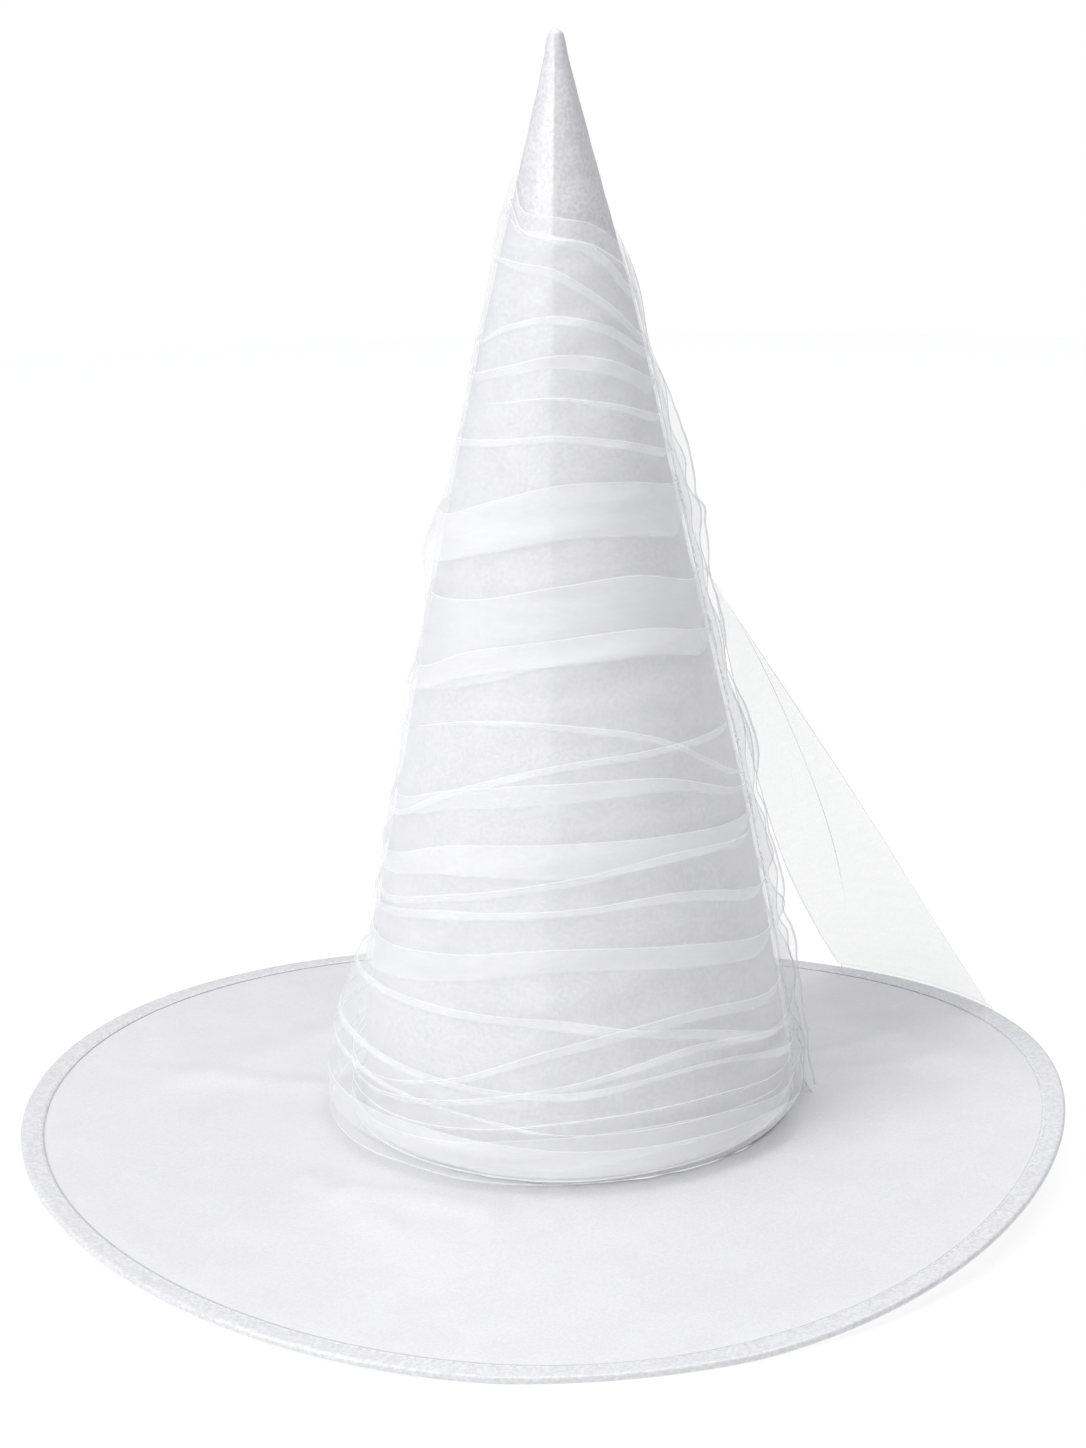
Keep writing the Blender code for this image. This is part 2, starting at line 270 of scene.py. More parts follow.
NEAR_RUFFLES = (
    Ruffle(388, 1.2, 0),
    Ruffle(375, 2.2, -1.5),
    Ruffle(352, 1.9, 1.0),
    Ruffle(334, 1.6, 0),
    Ruffle(318, 2.6, -1.4),
    Ruffle(302, 1.6, 1.2),
    Ruffle(290, 3.0, -0.8),
    Ruffle(277, 3.6, -2.4),
    Ruffle(268, 1.7, 0.6),
    Ruffle(256, 3.0, -2.0),
    Ruffle(246, 1.6, 1.0),
    Ruffle(235, 2.6, -1.8),
    Ruffle(219, 2.6, 0.8),
    Ruffle(209, 1.6, 1.6),
    Ruffle(196, 3.6, -1.4),
    Ruffle(184, 4.6, -3.0),
    Ruffle(171, 1.9, 1.0),
    Ruffle(158, 1.5, 2.2),
    Ruffle(146, 2.8, -0.6),
    Ruffle(134, 4.9, -2.6),
    Ruffle(128, 5.4, -3.4),
    Ruffle(121, 1.6, -0.4),
    Ruffle(112, 2.6, 2.4),
    Ruffle(105, 6.0, 3.0),
    Ruffle(97, 1.6, 0.4),
    Ruffle(91, 3.6, -1.4),
    Ruffle(82, 5.8, -3.0),
    Ruffle(71, 5.2, -3.4),
    Ruffle(60, 1.8, -1.0),
    Ruffle(52, 4.4, 1.4),
    Ruffle(43, 6.4, 2.6),
    Ruffle(33, 3.4, 0),
    Ruffle(25, 6.2, -2.2),
    Ruffle(21, 8.6, -3.0),
)
MIDDLE_RUFFLES = (
    Ruffle(379, 2.6, 1.0),
    Ruffle(362, 3.2, 2.2),
    Ruffle(343, 1.6, 1.0),
    Ruffle(326, 3.8, 2.0),
    Ruffle(309, 2.4, 0),
    Ruffle(296, 5.2, 1.6),
    Ruffle(284, 3.4, 3.0),
    Ruffle(276, 6.8, 2.0),
    Ruffle(262, 3.6, 0),
    Ruffle(249, 3.8, 1.8),
    Ruffle(238, 1.6, 2.6),
    Ruffle(228, 3.9, 1.2),
    Ruffle(213, 3.0, -0.4),
    Ruffle(202, 1.7, 1.0),
    Ruffle(190, 4.2, 2.8),
    Ruffle(177, 5.8, 3.6),
    Ruffle(165, 4.4, 1.2),
    Ruffle(155, 2.2, -0.6),
    Ruffle(144, 4.4, 1.6),
    Ruffle(131, 3.4, 3.4),
    Ruffle(118, 5.2, 3.0),
    Ruffle(110, 3.2, 0.6),
    Ruffle(102, 2.4, 0),
    Ruffle(93, 5.2, 2.0),
    Ruffle(84, 4.4, 3.8),
    Ruffle(74, 6.0, 3.4),
    Ruffle(64, 4.2, 1.0),
    Ruffle(55, 5.6, 0),
    Ruffle(46, 3.6, 1.8),
    Ruffle(38, 5.8, 3.2),
    Ruffle(29, 4.8, 1.6),
    Ruffle(22, 7.4, 0),
)
FAR_RUFFLES = (
    Ruffle(384, 1.2, 2.0),
    Ruffle(375, 2.6, 2.6),
    Ruffle(366, 3.3, 3.0),
    Ruffle(350, 1.9, 2.0),
    Ruffle(340, 1.0, 1.0),
    Ruffle(335, 1.9, 1.6),
    Ruffle(327, 4.1, 2.4),
    Ruffle(316, 5.6, 3.0),
    Ruffle(306, 6.9, 3.6),
    Ruffle(297, 7.6, 4.0),
    Ruffle(286, 7.1, 3.4),
    Ruffle(279, 6.5, 2.6),
    Ruffle(276, 8.5, 2.2),
    Ruffle(268, 7.4, 3.0),
    Ruffle(259, 6.7, 4.0),
    Ruffle(247, 4.4, 3.2),
    Ruffle(234, 5.2, 4.6),
    Ruffle(219, 4.7, 3.6),
    Ruffle(211, 2.1, 2.0),
    Ruffle(204, 3.0, 3.0),
    Ruffle(191, 6.0, 4.8),
    Ruffle(181, 7.3, 5.4),
    Ruffle(170, 7.6, 5.0),
    Ruffle(155, 3.6, 2.6),
    Ruffle(147, 5.3, 4.2),
    Ruffle(135, 5.0, 5.2),
    Ruffle(126, 6.1, 5.8),
    Ruffle(117, 6.8, 5.4),
    Ruffle(109, 6.8, 4.2),
    Ruffle(104, 4.9, 2.6),
    Ruffle(95, 6.8, 4.4),
    Ruffle(86, 8.0, 5.8),
    Ruffle(77, 7.2, 6.0),
    Ruffle(67, 7.3, 5.2),
    Ruffle(55, 7.1, 4.4),
    Ruffle(46, 7.9, 5.4),
    Ruffle(35, 7.4, 6.2),
    Ruffle(26, 8.8, 5.4),
    Ruffle(22, 9.6, 4.6),
)


class Bend(NamedTuple):
    """One turn of the hanging net over the brim's edge: how far out, and how far up."""

    out: float
    up: float


HANGING_BENDS = (Bend(-1.5, 2.9), Bend(-0.2, 2.5), Bend(0.9, 1.2), Bend(1.1, -1.2))


def read_smooth(keys: Sequence[float], values: Sequence[float], at: Array) -> Array:
    """Reads a table along one smooth curve.

    Args:
        keys: The table's positions, rising or falling.
        values: The value at each position.
        at: Where to read. Past the ends the last value holds.

    Returns:
        The value at each place that was asked for.
    """
    order = np.argsort(keys)
    known = np.asarray(keys, float)[order]
    level = np.asarray(values, float)[order]
    chords = np.diff(level) / np.diff(known)
    slopes = np.concatenate([chords[:1], (chords[:-1] + chords[1:]) / 2, chords[-1:]])
    place = np.clip(at, known[0], known[-1])
    low = np.clip(np.searchsorted(known, place, side="right") - 1, 0, len(known) - 2)
    step = known[low + 1] - known[low]
    t = (place - known[low]) / step
    return (
        level[low] * (2 * t**3 - 3 * t**2 + 1)
        + slopes[low] * step * (t**3 - 2 * t**2 + t)
        + level[low + 1] * (3 * t**2 - 2 * t**3)
        + slopes[low + 1] * step * (t**3 - t**2)
    )


def column(rows: Sequence[NamedTuple], name: str) -> list[float]:
    """One named column of a table."""
    return [getattr(row, name) for row in rows]


def bump(distance: Array, half_width: float) -> Array:
    """A round hill of height 1 that falls to nearly nothing two half widths away."""
    return np.exp(-((distance / half_width) ** 2))


def angle_between(first: Array, second: float) -> Array:
    """Smallest difference of two angles in degrees."""
    return (first - second + 180) % 360 - 180


def ease(share: Array) -> Array:
    """Turns a share from 0 to 1 into one that starts and ends gently."""
    kept = np.clip(share, 0, 1)
    return kept * kept * (3 - 2 * kept)


def outward(angle: Array) -> Array:
    """Unit vectors in plan at these angles."""
    turn = np.radians(angle)
    return np.stack([np.cos(turn), np.sin(turn), np.zeros_like(turn)], axis=-1)


def upward(height: Array) -> Array:
    """Vectors that point up by these heights."""
    nothing = np.zeros_like(height)
    return np.stack([nothing, nothing, height], axis=-1)


def ripple(angle: Array, height: Array, seed: float) -> Array:
    """The soft, uneven waves of loose cloth, mostly level ones, from about -1 to 1."""
    turn = np.radians(angle)
    slant = height / (2.9 * MM) + 3.2 * np.sin(turn + seed) + 1.1 * np.sin(3 * turn - seed)
    fine = height / (1.55 * MM) - 2.6 * np.sin(2 * turn + 2 * seed) + 1.3 * np.cos(5 * turn + seed)
    swell = 0.6 + 0.4 * np.sin(2 * turn + height / (21 * MM) + 3 * seed)
    strength = 0.6 + 0.4 * np.sin(3 * turn - height / (16 * MM) + seed)
    return swell * 0.62 * np.sin(slant + seed) + strength * 0.38 * np.sin(fine + 2 * seed)


@dataclass(frozen=True)
class HatForm:
    """The hat's main sizes, which all its pieces share."""

    brim_radius: float = 220 * MM
    edge_height: float = 10.6 * MM
    edge_lift: float = 9.35 * MM
    edge_skew: float = 1.9 * MM
    brim_wall: float = 2.0 * MM
    edge_wall: float = 1.2 * MM
    brim_rise: float = 8.4 * MM
    brim_flare: float = 2.2
    brim_bend: float = 1.5
    binding_wall: float = 1.0 * MM
    binding_width: float = 8.5 * MM
    gap: float = 0.3 * MM
    crown_offset: float = 15.6 * MM
    tip_offset: float = 14.8 * MM
    crown_wall: float = 2.0 * MM
    seam_angle: float = -5.0
    pull_round: float = 0.6 * MM
    pull_right: float = 1.4 * MM

    @property
    def opening_radius(self) -> float:
        """Radius of the head opening."""
        return CROWN_SECTIONS[0].radius * MM - self.crown_wall

    @property
    def crown_height(self) -> float:
        """Height of the crown from its foot to its tip."""
        return CROWN_SECTIONS[-1].height * MM

    @property
    def foot_height(self) -> float:
        """Height of the crown's foot over the floor."""
        return self.edge_height + self.brim_rise + self.brim_wall / 2 + self.gap

    @property
    def cloth_edge(self) -> float:
        """Radius of the brim's own cloth, inside its binding."""
        return self.brim_radius - self.binding_wall - self.gap

    @property
    def binding_half(self) -> float:
        """Half of the bound edge's thickness."""
        return self.edge_wall / 2 + self.gap + self.binding_wall

    def edge(self, angle: Array) -> Array:
        """Height of the middle of the brim's edge."""
        turn = np.radians(angle)
        lift = self.edge_lift * np.cos(2 * turn) + self.edge_skew * np.cos(3 * turn)
        return self.edge_height + lift

    def brim_middle(self, share: Array, angle: Array) -> Array:
        """Points in the middle of the brim's wall.

        Args:
            share: From 0 at the head opening to 1 at the cloth's outer edge.
            angle: Where round the brim.

        Returns:
            One point for each share and angle.
        """
        inner = np.array([self.crown_offset, 0, 0]) + outward(angle) * self.opening_radius
        outer = outward(angle) * self.cloth_edge
        point = inner + (outer - inner) * share[..., None]
        height = self.edge_height + (self.edge(angle) - self.edge_height) * share**self.brim_bend
        height = height + self.brim_rise * (1 - share) ** self.brim_flare + ridge_height(point)
        point[..., 2] = np.maximum(height, self.binding_half)
        return point

    def share_in(self, inset: Array, angle: Array) -> Array:
        """Share of the brim's width at a distance in from the edge of its cloth."""
        inner = np.array([self.crown_offset, 0, 0]) + outward(angle) * self.opening_radius
        width = np.linalg.norm(outward(angle) * self.cloth_edge - inner, axis=-1)
        return 1 - inset / width

    def on_brim(self, angle: Array, off: Array) -> Array:
        """Height of the brim's face under points that stand off the crown's foot."""
        inner = np.array([self.crown_offset, 0, 0]) + outward(angle) * self.opening_radius
        width = np.linalg.norm(outward(angle) * self.cloth_edge - inner, axis=-1)
        share = np.maximum(off + self.crown_wall, 0) / width
        return self.brim_middle(share, angle)[..., 2] + self.brim_wall / 2

    def crown_radius(self, height: Array) -> Array:
        """Outer radius of the undented crown at heights over its foot."""
        keys, radii = column(CROWN_SECTIONS, "height"), column(CROWN_SECTIONS, "radius")
        return read_smooth(keys, radii, height / MM) * MM

    def drawn_over(self, angle: Array, height: Array) -> Array:
        """How far the gathered net pulls the crown's wall inwards, at heights over the floor."""
        pull = ease((400 * MM - height) / (150 * MM)) * (0.45 + 0.55 * ease(height / (110 * MM)))
        return pull * (self.pull_round + self.pull_right * np.cos(np.radians(angle)))

    def off_crown(self, angle: Array, height: Array, off: Array) -> Array:
        """Points that stand off the crown's outside, at heights over the floor."""
        over_foot = height - self.foot_height
        share = over_foot / self.crown_height
        centre = self.crown_offset + (self.tip_offset - self.crown_offset) * share
        reach = self.crown_radius(over_foot) + off
        point = outward(angle) * reach[..., None] + upward(height)
        point[..., 0] += centre
        return point


def ridge_height(point: Array, ridges: Sequence[Ridge] = RIDGES) -> Array:
    """Height that folds across the brim add at plan positions."""
    total = np.zeros(point.shape[:-1])
    for ridge in ridges:
        start = np.array([ridge.start_x, ridge.start_y]) * MM
        run = np.array([ridge.end_x, ridge.end_y]) * MM - start
        along = np.clip((point[..., :2] - start) @ run / (run @ run), 0, 1)
        nearest = start + along[..., None] * run
        distance = np.linalg.norm(point[..., :2] - nearest, axis=-1)
        total += ridge.height * MM * bump(distance, ridge.half_width * MM)
    return total


def finish_piece(name: str, form: bmesh.types.BMesh) -> bpy.types.Object:
    """Makes a smooth-shaded object of a bmesh and puts it in the scene."""
    mesh = bpy.data.meshes.new(name)
    form.to_mesh(mesh)
    form.free()
    mesh.shade_smooth()
    piece = bpy.data.objects.new(name, mesh)
    bpy.context.scene.collection.objects.link(piece)
    return piece


def spun_shell(
    name: str,
    stations: int,
    steps: int,
    place: Callable[[Array, Array], Array],
    closed: bool,
) -> bpy.types.Object:
    """Spins a ladder of stations about Z, then lays each ring where it belongs.

    Args:
        name: The piece's name.
        stations: How many rings the shell has.
        steps: How many steps go round.
        place: Gives the points for arrays of station numbers and angles.
        closed: Whether the last ring joins the first.

    Returns:
        The shell as an object, its faces pointing outwards.
    """
    form = bmesh.new()
    rungs = [form.verts.new((1, 0, index)) for index in range(stations)]
    rails = [form.edges.new(pair) for pair in zip(rungs, rungs[1:])]
    if closed:
        rails.append(form.edges.new((rungs[-1], rungs[0])))
    bmesh.ops.spin(
        form,
        geom=rungs + rails,
        cent=(0, 0, 0),
        axis=(0, 0, 1),
        angle=math.tau,
        steps=steps,
        use_merge=True,
    )
    spun = np.array([vert.co for vert in form.verts])
    angles = np.degrees(np.arctan2(spun[:, 1], spun[:, 0]))
    laid = place(np.rint(spun[:, 2]).astype(int), angles)
    for vert, point in zip(form.verts, laid):
        vert.co = point
    bmesh.ops.remove_doubles(form, verts=form.verts, dist=1e-6)
    bmesh.ops.recalc_face_normals(form, faces=form.faces)
    return finish_piece(name, form)


def laid_net(name: str, points: Array, cloth: Array, dense: Array) -> bpy.types.Object:
    """Lays a grid of cloth out along rows and columns of points.

    Args:
        name: The piece's name.
        points: Its points, as rows by columns by 3.
        cloth: Each point's place on the flat cloth in metres, as rows by columns by 2.
        dense: For each face, as rows by columns, whether it is a folded edge.

    Returns:
        The sheet. Its second material covers the folded edges.
    """
    rows, columns = points.shape[0] - 1, points.shape[1] - 1
    form = bmesh.new()
    flat = form.loops.layers.uv.new("Cloth")
    bmesh.ops.create_grid(form, x_segments=columns, y_segments=rows, size=0.5)
    form.verts.index_update()
    grid = np.array([vert.co for vert in form.verts])
    across = np.rint((grid[:, 0] + 0.5) * columns).astype(int)
    down = np.rint((0.5 - grid[:, 1]) * rows).astype(int)
    laid, on_cloth = points[down, across], cloth[down, across]
    for face in form.faces:
        for loop in face.loops:
            loop[flat].uv = on_cloth[loop.vert.index]
        corners = [vert.index for vert in face.verts]
        row, side = down[corners].min(), across[corners].min()
        face.material_index = int(dense[row, side])
    for vert, point in zip(form.verts, laid):
        vert.co = point
    return finish_piece(name, form)


class NodeBench:
    """Builds one material's nodes and links them."""

    def __init__(self, name: str) -> None:
        """Starts a material with its Principled shader."""
        self.material = bpy.data.materials.new(name)
        self.material.use_nodes = True
        self.nodes = self.material.node_tree.nodes
        self.links = self.material.node_tree.links
        self.shader = self.nodes["Principled BSDF"]

    def add(self, kind: str, **settings: object) -> bpy.types.Node:
        """Adds a node and sets its own options."""
        node = self.nodes.new(kind)
        for key, value in settings.items():
            setattr(node, key, value)
        return node

    def join(self, source: bpy.types.NodeSocket, target: bpy.types.NodeSocket) -> None:
        """Links two sockets."""
        self.links.new(source, target)

    def set(self, **values: float | tuple[float, ...]) -> None:
        """Sets the shader's sockets by their names, with an underscore for each space."""
        for key, value in values.items():
            self.shader.inputs[key.replace("_", " ")].default_value = value

    def scaled(
        self, source: bpy.types.NodeSocket, scale: tuple[float, ...]
    ) -> bpy.types.NodeSocket:
        """Scales coordinates through a Mapping node."""
        mapping = self.add("ShaderNodeMapping")
        mapping.inputs["Scale"].default_value = scale
        self.join(source, mapping.inputs["Vector"])
        return mapping.outputs["Vector"]

    def noise(
        self, source: bpy.types.NodeSocket, scale: float, detail: float, roughness: float = 0.5
    ) -> bpy.types.NodeSocket:
        """A noise texture's value, with its scale in waves for each metre."""
        texture = self.add("ShaderNodeTexNoise")
        texture.inputs["Scale"].default_value = scale
        texture.inputs["Detail"].default_value = detail
        texture.inputs["Roughness"].default_value = roughness
        self.join(source, texture.inputs["Vector"])
        return texture.outputs["Fac"]

    def bands(
        self, source: bpy.types.NodeSocket, scale: float, direction: str, wobble: float
    ) -> bpy.types.NodeSocket:
        """The threads of a weave along one direction."""
        texture = self.add("ShaderNodeTexWave", wave_type="BANDS", bands_direction=direction)
        texture.inputs["Scale"].default_value = scale
        texture.inputs["Distortion"].default_value = wobble
        texture.inputs["Detail"].default_value = 0.0
        self.join(source, texture.inputs["Vector"])
        return texture.outputs["Fac"]

    def blend(
        self, share: bpy.types.NodeSocket, low: Colour, high: Colour, spread: tuple[float, float]
    ) -> bpy.types.NodeSocket:
        """A colour that runs from low to high as a value crosses a range."""
        ramp = self.add("ShaderNodeValToRGB")
        ramp.color_ramp.elements[0].position = spread[0]
        ramp.color_ramp.elements[0].color = (*low, 1)
        ramp.color_ramp.elements[1].position = spread[1]
        ramp.color_ramp.elements[1].color = (*high, 1)
        self.join(share, ramp.inputs["Fac"])
        return ramp.outputs["Color"]

    def ranged(
        self, share: bpy.types.NodeSocket, low: float, high: float
    ) -> bpy.types.NodeSocket:
        """A value from 0 to 1 brought to another range."""
        node = self.add("ShaderNodeMapRange")
        node.inputs["To Min"].default_value = low
        node.inputs["To Max"].default_value = high
        self.join(share, node.inputs["Value"])
        return node.outputs["Result"]

    def total(
        self, first: bpy.types.NodeSocket, second: bpy.types.NodeSocket
    ) -> bpy.types.NodeSocket:
        """The sum of two values."""
        node = self.add("ShaderNodeMath", operation="ADD")
        self.join(first, node.inputs[0])
        self.join(second, node.inputs[1])
        return node.outputs[0]

    def raise_relief(
        self, height: bpy.types.NodeSocket, depth: float, strength: float,
        under: bpy.types.NodeSocket | None = None,
    ) -> bpy.types.NodeSocket:
        """A bump of a real depth in metres, over an earlier one if there is one."""
        relief = self.add("ShaderNodeBump")
        relief.inputs["Distance"].default_value = depth
        relief.inputs["Strength"].default_value = strength
        self.join(height, relief.inputs["Height"])
        if under is not None:
            self.join(under, relief.inputs["Normal"])
        return relief.outputs["Normal"]


@dataclass(frozen=True)
class SatinFinish:
    """White costume satin: a close shiny weave that is slightly uneven in tone and gloss."""

    name: str
    colour: Colour = (0.785, 0.782, 0.80)
    shade: Colour = (0.675, 0.672, 0.697)
    gloss: float = 0.30
    dull: float = 0.42
    weave: float = 420.0
    grain: float = 1300.0
    mottle: float = 620.0
    pucker: float = 85.0
    pucker_depth: float = 0.25 * MM

    def make(self) -> bpy.types.Material:
        """Builds the satin's nodes on Object coordinates."""
        bench = NodeBench(self.name)
        bench.set(Specular_IOR_Level=0.62, Sheen_Weight=0.12, Sheen_Roughness=0.35, Metallic=0.0)
        place = bench.add("ShaderNodeTexCoord").outputs["Object"]
        cloud = bench.noise(place, self.pucker, 3.0)
        fleck = bench.noise(place, self.grain, 2.0, 0.7)
        grain = bench.noise(place, self.mottle, 2.0, 0.6)
        tone = bench.total(bench.ranged(cloud, 0.0, 0.3), bench.ranged(grain, 0.0, 0.7))
        bench.join(
            bench.blend(tone, self.shade, self.colour, (0.42, 0.58)),
            bench.shader.inputs["Base Color"],
        )
        bench.join(bench.ranged(fleck, self.gloss, self.dull), bench.shader.inputs["Roughness"])
        threads = bench.bands(bench.scaled(place, (1, 1, 0.35)), self.weave, "DIAGONAL", 0.0)
        relief = bench.raise_relief(cloud, self.pucker_depth, 0.25)
        relief = bench.raise_relief(fleck, 0.07 * MM, 0.5, relief)
        relief = bench.raise_relief(threads, 0.02 * MM, 0.3, relief)
        bench.join(relief, bench.shader.inputs["Normal"])
        return bench.material


@dataclass(frozen=True)
class NetFinish:
    """Sheer white net: fine crossed threads, see-through between them, and a faint painted glow
    where one is asked for.
    """

    name: str
    cover: float
    colour: Colour = (1.0, 1.0, 1.0)
    shade: Colour = (0.9, 0.9, 0.92)
    weave: float = 180.0
    grain: float = 700.0
    # scale of the long streaks, which carry painted wrinkle shade in the colour and the wrinkle
    # bump
    streak: tuple[float, float, float] = (26.0, 150.0, 1.0)
    relief: float = 0.6
    sheen: float = 0.5
    # painted glow: how much light the net gives off of its own, standing in for light passing
    # through the threads
    painted_glow: float = 0.09

    def make(self) -> bpy.types.Material:
        """Builds the net's nodes on the cloth's own UV map, with one even cover."""
        bench = NodeBench(self.name)
        bench.set(
            Alpha=self.cover,
            Roughness=0.48,
            Specular_IOR_Level=0.35,
            Sheen_Weight=self.sheen,
            Sheen_Roughness=0.3,
            Metallic=0.0,
            # painted glow: a faint white emission, which brightens the net most on its shaded side
            Emission_Color=(1, 1, 1, 1),
            Emission_Strength=self.painted_glow,
        )
        cloth = bench.add("ShaderNodeUVMap", uv_map="Cloth").outputs["UV"]
        warp = bench.bands(cloth, self.weave, "X", 0.0)
        weft = bench.bands(cloth, self.weave, "Y", 0.0)
        crossed = bench.total(warp, weft)
        mottle = bench.noise(cloth, self.grain, 1.0, 0.65)
        streak = bench.noise(bench.scaled(cloth, self.streak), 1.0, 2.0, 0.55)
        grain = bench.total(bench.ranged(mottle, 0.0, 0.8), bench.ranged(crossed, 0.0, 0.09))
        # The mottle and weave are the net's own tone. The long streaks added here lighten and
        # darken it as painted shade of soft wrinkles, and the same values drive the bump below.
        wrinkle_relief_and_shade = bench.total(grain, bench.ranged(streak, -0.3, 0.3))
        bench.join(
            bench.blend(wrinkle_relief_and_shade, self.shade, self.colour, (0.36, 0.64)),
            bench.shader.inputs["Base Color"],
        )
        relief = bench.raise_relief(wrinkle_relief_and_shade, 0.9 * MM, self.relief)
        bench.join(relief, bench.shader.inputs["Normal"])
        bench.material.surface_render_method = "BLENDED"
        return bench.material


@dataclass(frozen=True)
class ThreadFinish:
    """Glossy white sewing thread with its twist."""

    name: str
    colour: Colour = (0.86, 0.86, 0.88)
    twist: float = 900.0

    def make(self) -> bpy.types.Material:
        """Builds the thread's nodes on Object coordinates."""
        bench = NodeBench(self.name)
        bench.set(Roughness=0.25, Specular_IOR_Level=0.7, Metallic=0.0)
        place = bench.add("ShaderNodeTexCoord").outputs["Object"]
        strands = bench.bands(place, self.twist, "DIAGONAL", 0.4)
        bench.join(
            bench.blend(strands, (0.74, 0.74, 0.77), self.colour, (0.0, 0.6)),
            bench.shader.inputs["Base Color"],
        )
        bench.join(bench.raise_relief(strands, 0.04 * MM, 0.4), bench.shader.inputs["Normal"])
        return bench.material


class FinishRack:
    """Every finish of the hat, made once."""

    def __init__(self) -> None:
        """Mixes the finishes."""
        self.crown = SatinFinish("crown_satin_cloth").make()
        self.brim = SatinFinish(
            "brim_satin_cloth",
            colour=(0.775, 0.773, 0.79),
            shade=(0.73, 0.727, 0.748),
            mottle=900.0,
            gloss=0.34,
            dull=0.46,
            pucker=45.0,
            pucker_depth=0.12 * MM,
        ).make()
        self.binding = SatinFinish(
            "binding_satin_strip", colour=(0.78, 0.78, 0.8), gloss=0.26, dull=0.36, pucker=260.0
        ).make()
        # painted glow: the wound nets and their folds give off a faint light of their own; the
        # ruffles and the hanging net give off none
        self.wound = NetFinish("wound_net_layer", cover=0.24).make()
        self.outer_fold = NetFinish(
            "outer_net_fold", cover=0.42, shade=(0.97, 0.97, 0.98), relief=0.1
        ).make()
        self.inner_fold = NetFinish(
            "inner_net_fold", cover=0.8, shade=(0.97, 0.97, 0.98), relief=0.1, painted_glow=0.12
        ).make()
        self.gathered = NetFinish("gathered_net_layer", cover=0.24, painted_glow=0.0).make()
        # painted shade: the ruffles' lip is coloured grey, darker than the net, to stand for the
        # shade that falls on it
        self.gathered_edge_painted_shade = NetFinish(
            "gathered_net_edge_painted_shade",
            cover=0.7,
            colour=(0.82, 0.82, 0.84),
            shade=(0.74, 0.74, 0.77),
            relief=0.2,
            painted_glow=0.0,
        ).make()
        self.hanging = NetFinish("hanging_net_layer", cover=0.27, painted_glow=0.0).make()
        # painted shade: the hanging net's edges, hem and crease are coloured grey to stand for the
        # shade that falls on them
        self.hanging_edge_painted_shade = NetFinish(
            "hanging_net_edge_painted_shade",
            cover=0.8,
            colour=(0.78, 0.78, 0.8),
            shade=(0.7, 0.7, 0.73),
            relief=0.2,
            painted_glow=0.0,
        ).make()
        self.stitch = ThreadFinish("binding_thread").make()
        self.gather_thread = ThreadFinish("gather_thread", colour=(0.92, 0.92, 0.94)).make()


def dress(piece: bpy.types.Object, slot: str, *finishes: bpy.types.Material) -> None:
    """Gives a piece its finishes and lets it ride on the hat."""
    for finish in finishes:
        piece.data.materials.append(finish)
    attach(piece, BODY)


def report(piece: bpy.types.Object) -> None:
    """Logs a piece and its face count."""
    LOG.info("%s: %d faces", piece.name, len(piece.data.polygons))


@dataclass
class SatinCrown:
    """The tall hollow cone of stiffened satin, with its pressed front crease."""

    form: HatForm
    outside_rows: int = 150
    inside_rows: int = 24
    steps: int = 216
    inner_tip: float = 438 * MM
    crease_angle: float = -98.0
    crease_depth: float = 0.036
    crease_reach: float = 22.0
    crease_blunt: float = 1.0
    seam_angle: float = 84.0
    seam_depth: float = 0.5 * MM
    seam_width: float = 1.2
    ripple_depth: float = 0.12 * MM
    foot_crease: float = 0.5
    tip_fade: float = 12 * MM
    tip_length: float = 13 * MM
    tip_drops: tuple[float, ...] = (0, 0.35, 0.9, 1.8, 3.0, 4.6, 6.8, 9.6)

    def hollow(self, angle: Array, height: Array) -> Array:
        """Depth of the crown's dents, crease and seam at places on it."""
        total = np.zeros_like(height)
        for dent in DENTS:
            across = bump(angle_between(angle, dent.angle), dent.half_angle)
            total += dent.depth * MM * across * bump(height / MM - dent.height, dent.half_height)
        turned = np.hypot(angle_between(angle, self.crease_angle), self.crease_blunt)
        reach = (turned - self.crease_blunt) / self.crease_reach
        upper = ease(2 * height / self.form.crown_height)
        fade = self.foot_crease + (1 - self.foot_crease) * upper
        depth = self.crease_depth * self.form.crown_radius(height) * fade
        total += depth * reach * np.exp(1 - reach)
        from_seam = angle_between(angle, self.seam_angle)
        total += self.seam_depth * bump(from_seam, self.seam_width)
        total += self.ripple_depth * (1 + ripple(angle, height, 0.4))
        total += self.form.drawn_over(angle, height + self.form.foot_height)
        return total * ease((self.form.crown_height - height) / self.tip_fade)

    def build(self, finish: bpy.types.Material) -> bpy.types.Object:
        """Models the cone down its outside and up its inside."""
        top = self.form.crown_height
        tip = top - np.array(self.tip_drops) * MM
        outside = np.concatenate([tip, np.linspace(top - self.tip_length, 0, self.outside_rows)])
        inside = np.linspace(0, self.inner_tip, self.inside_rows)
        heights = np.concatenate([outside, inside])
        walls = np.concatenate([np.zeros(len(outside)), np.full(len(inside), self.form.crown_wall)])

        def place(station: Array, angle: Array) -> Array:
            """Points of the cone's wall, with both its tips closed."""
            height = heights[station]
            off = -walls[station] - self.hollow(angle, height)
            off = np.where((station == 0) | (station == len(heights) - 1), -1.0, off)
            reach = np.maximum(self.form.crown_radius(height) + off, 0)
            off = reach - self.form.crown_radius(height)
            return self.form.off_crown(angle, height + self.form.foot_height, off)

        piece = spun_shell("satin_crown", len(heights), self.steps, place, closed=False)
        dress(piece, "crown_satin", finish)
        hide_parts("crown")
        report(piece)
        return piece


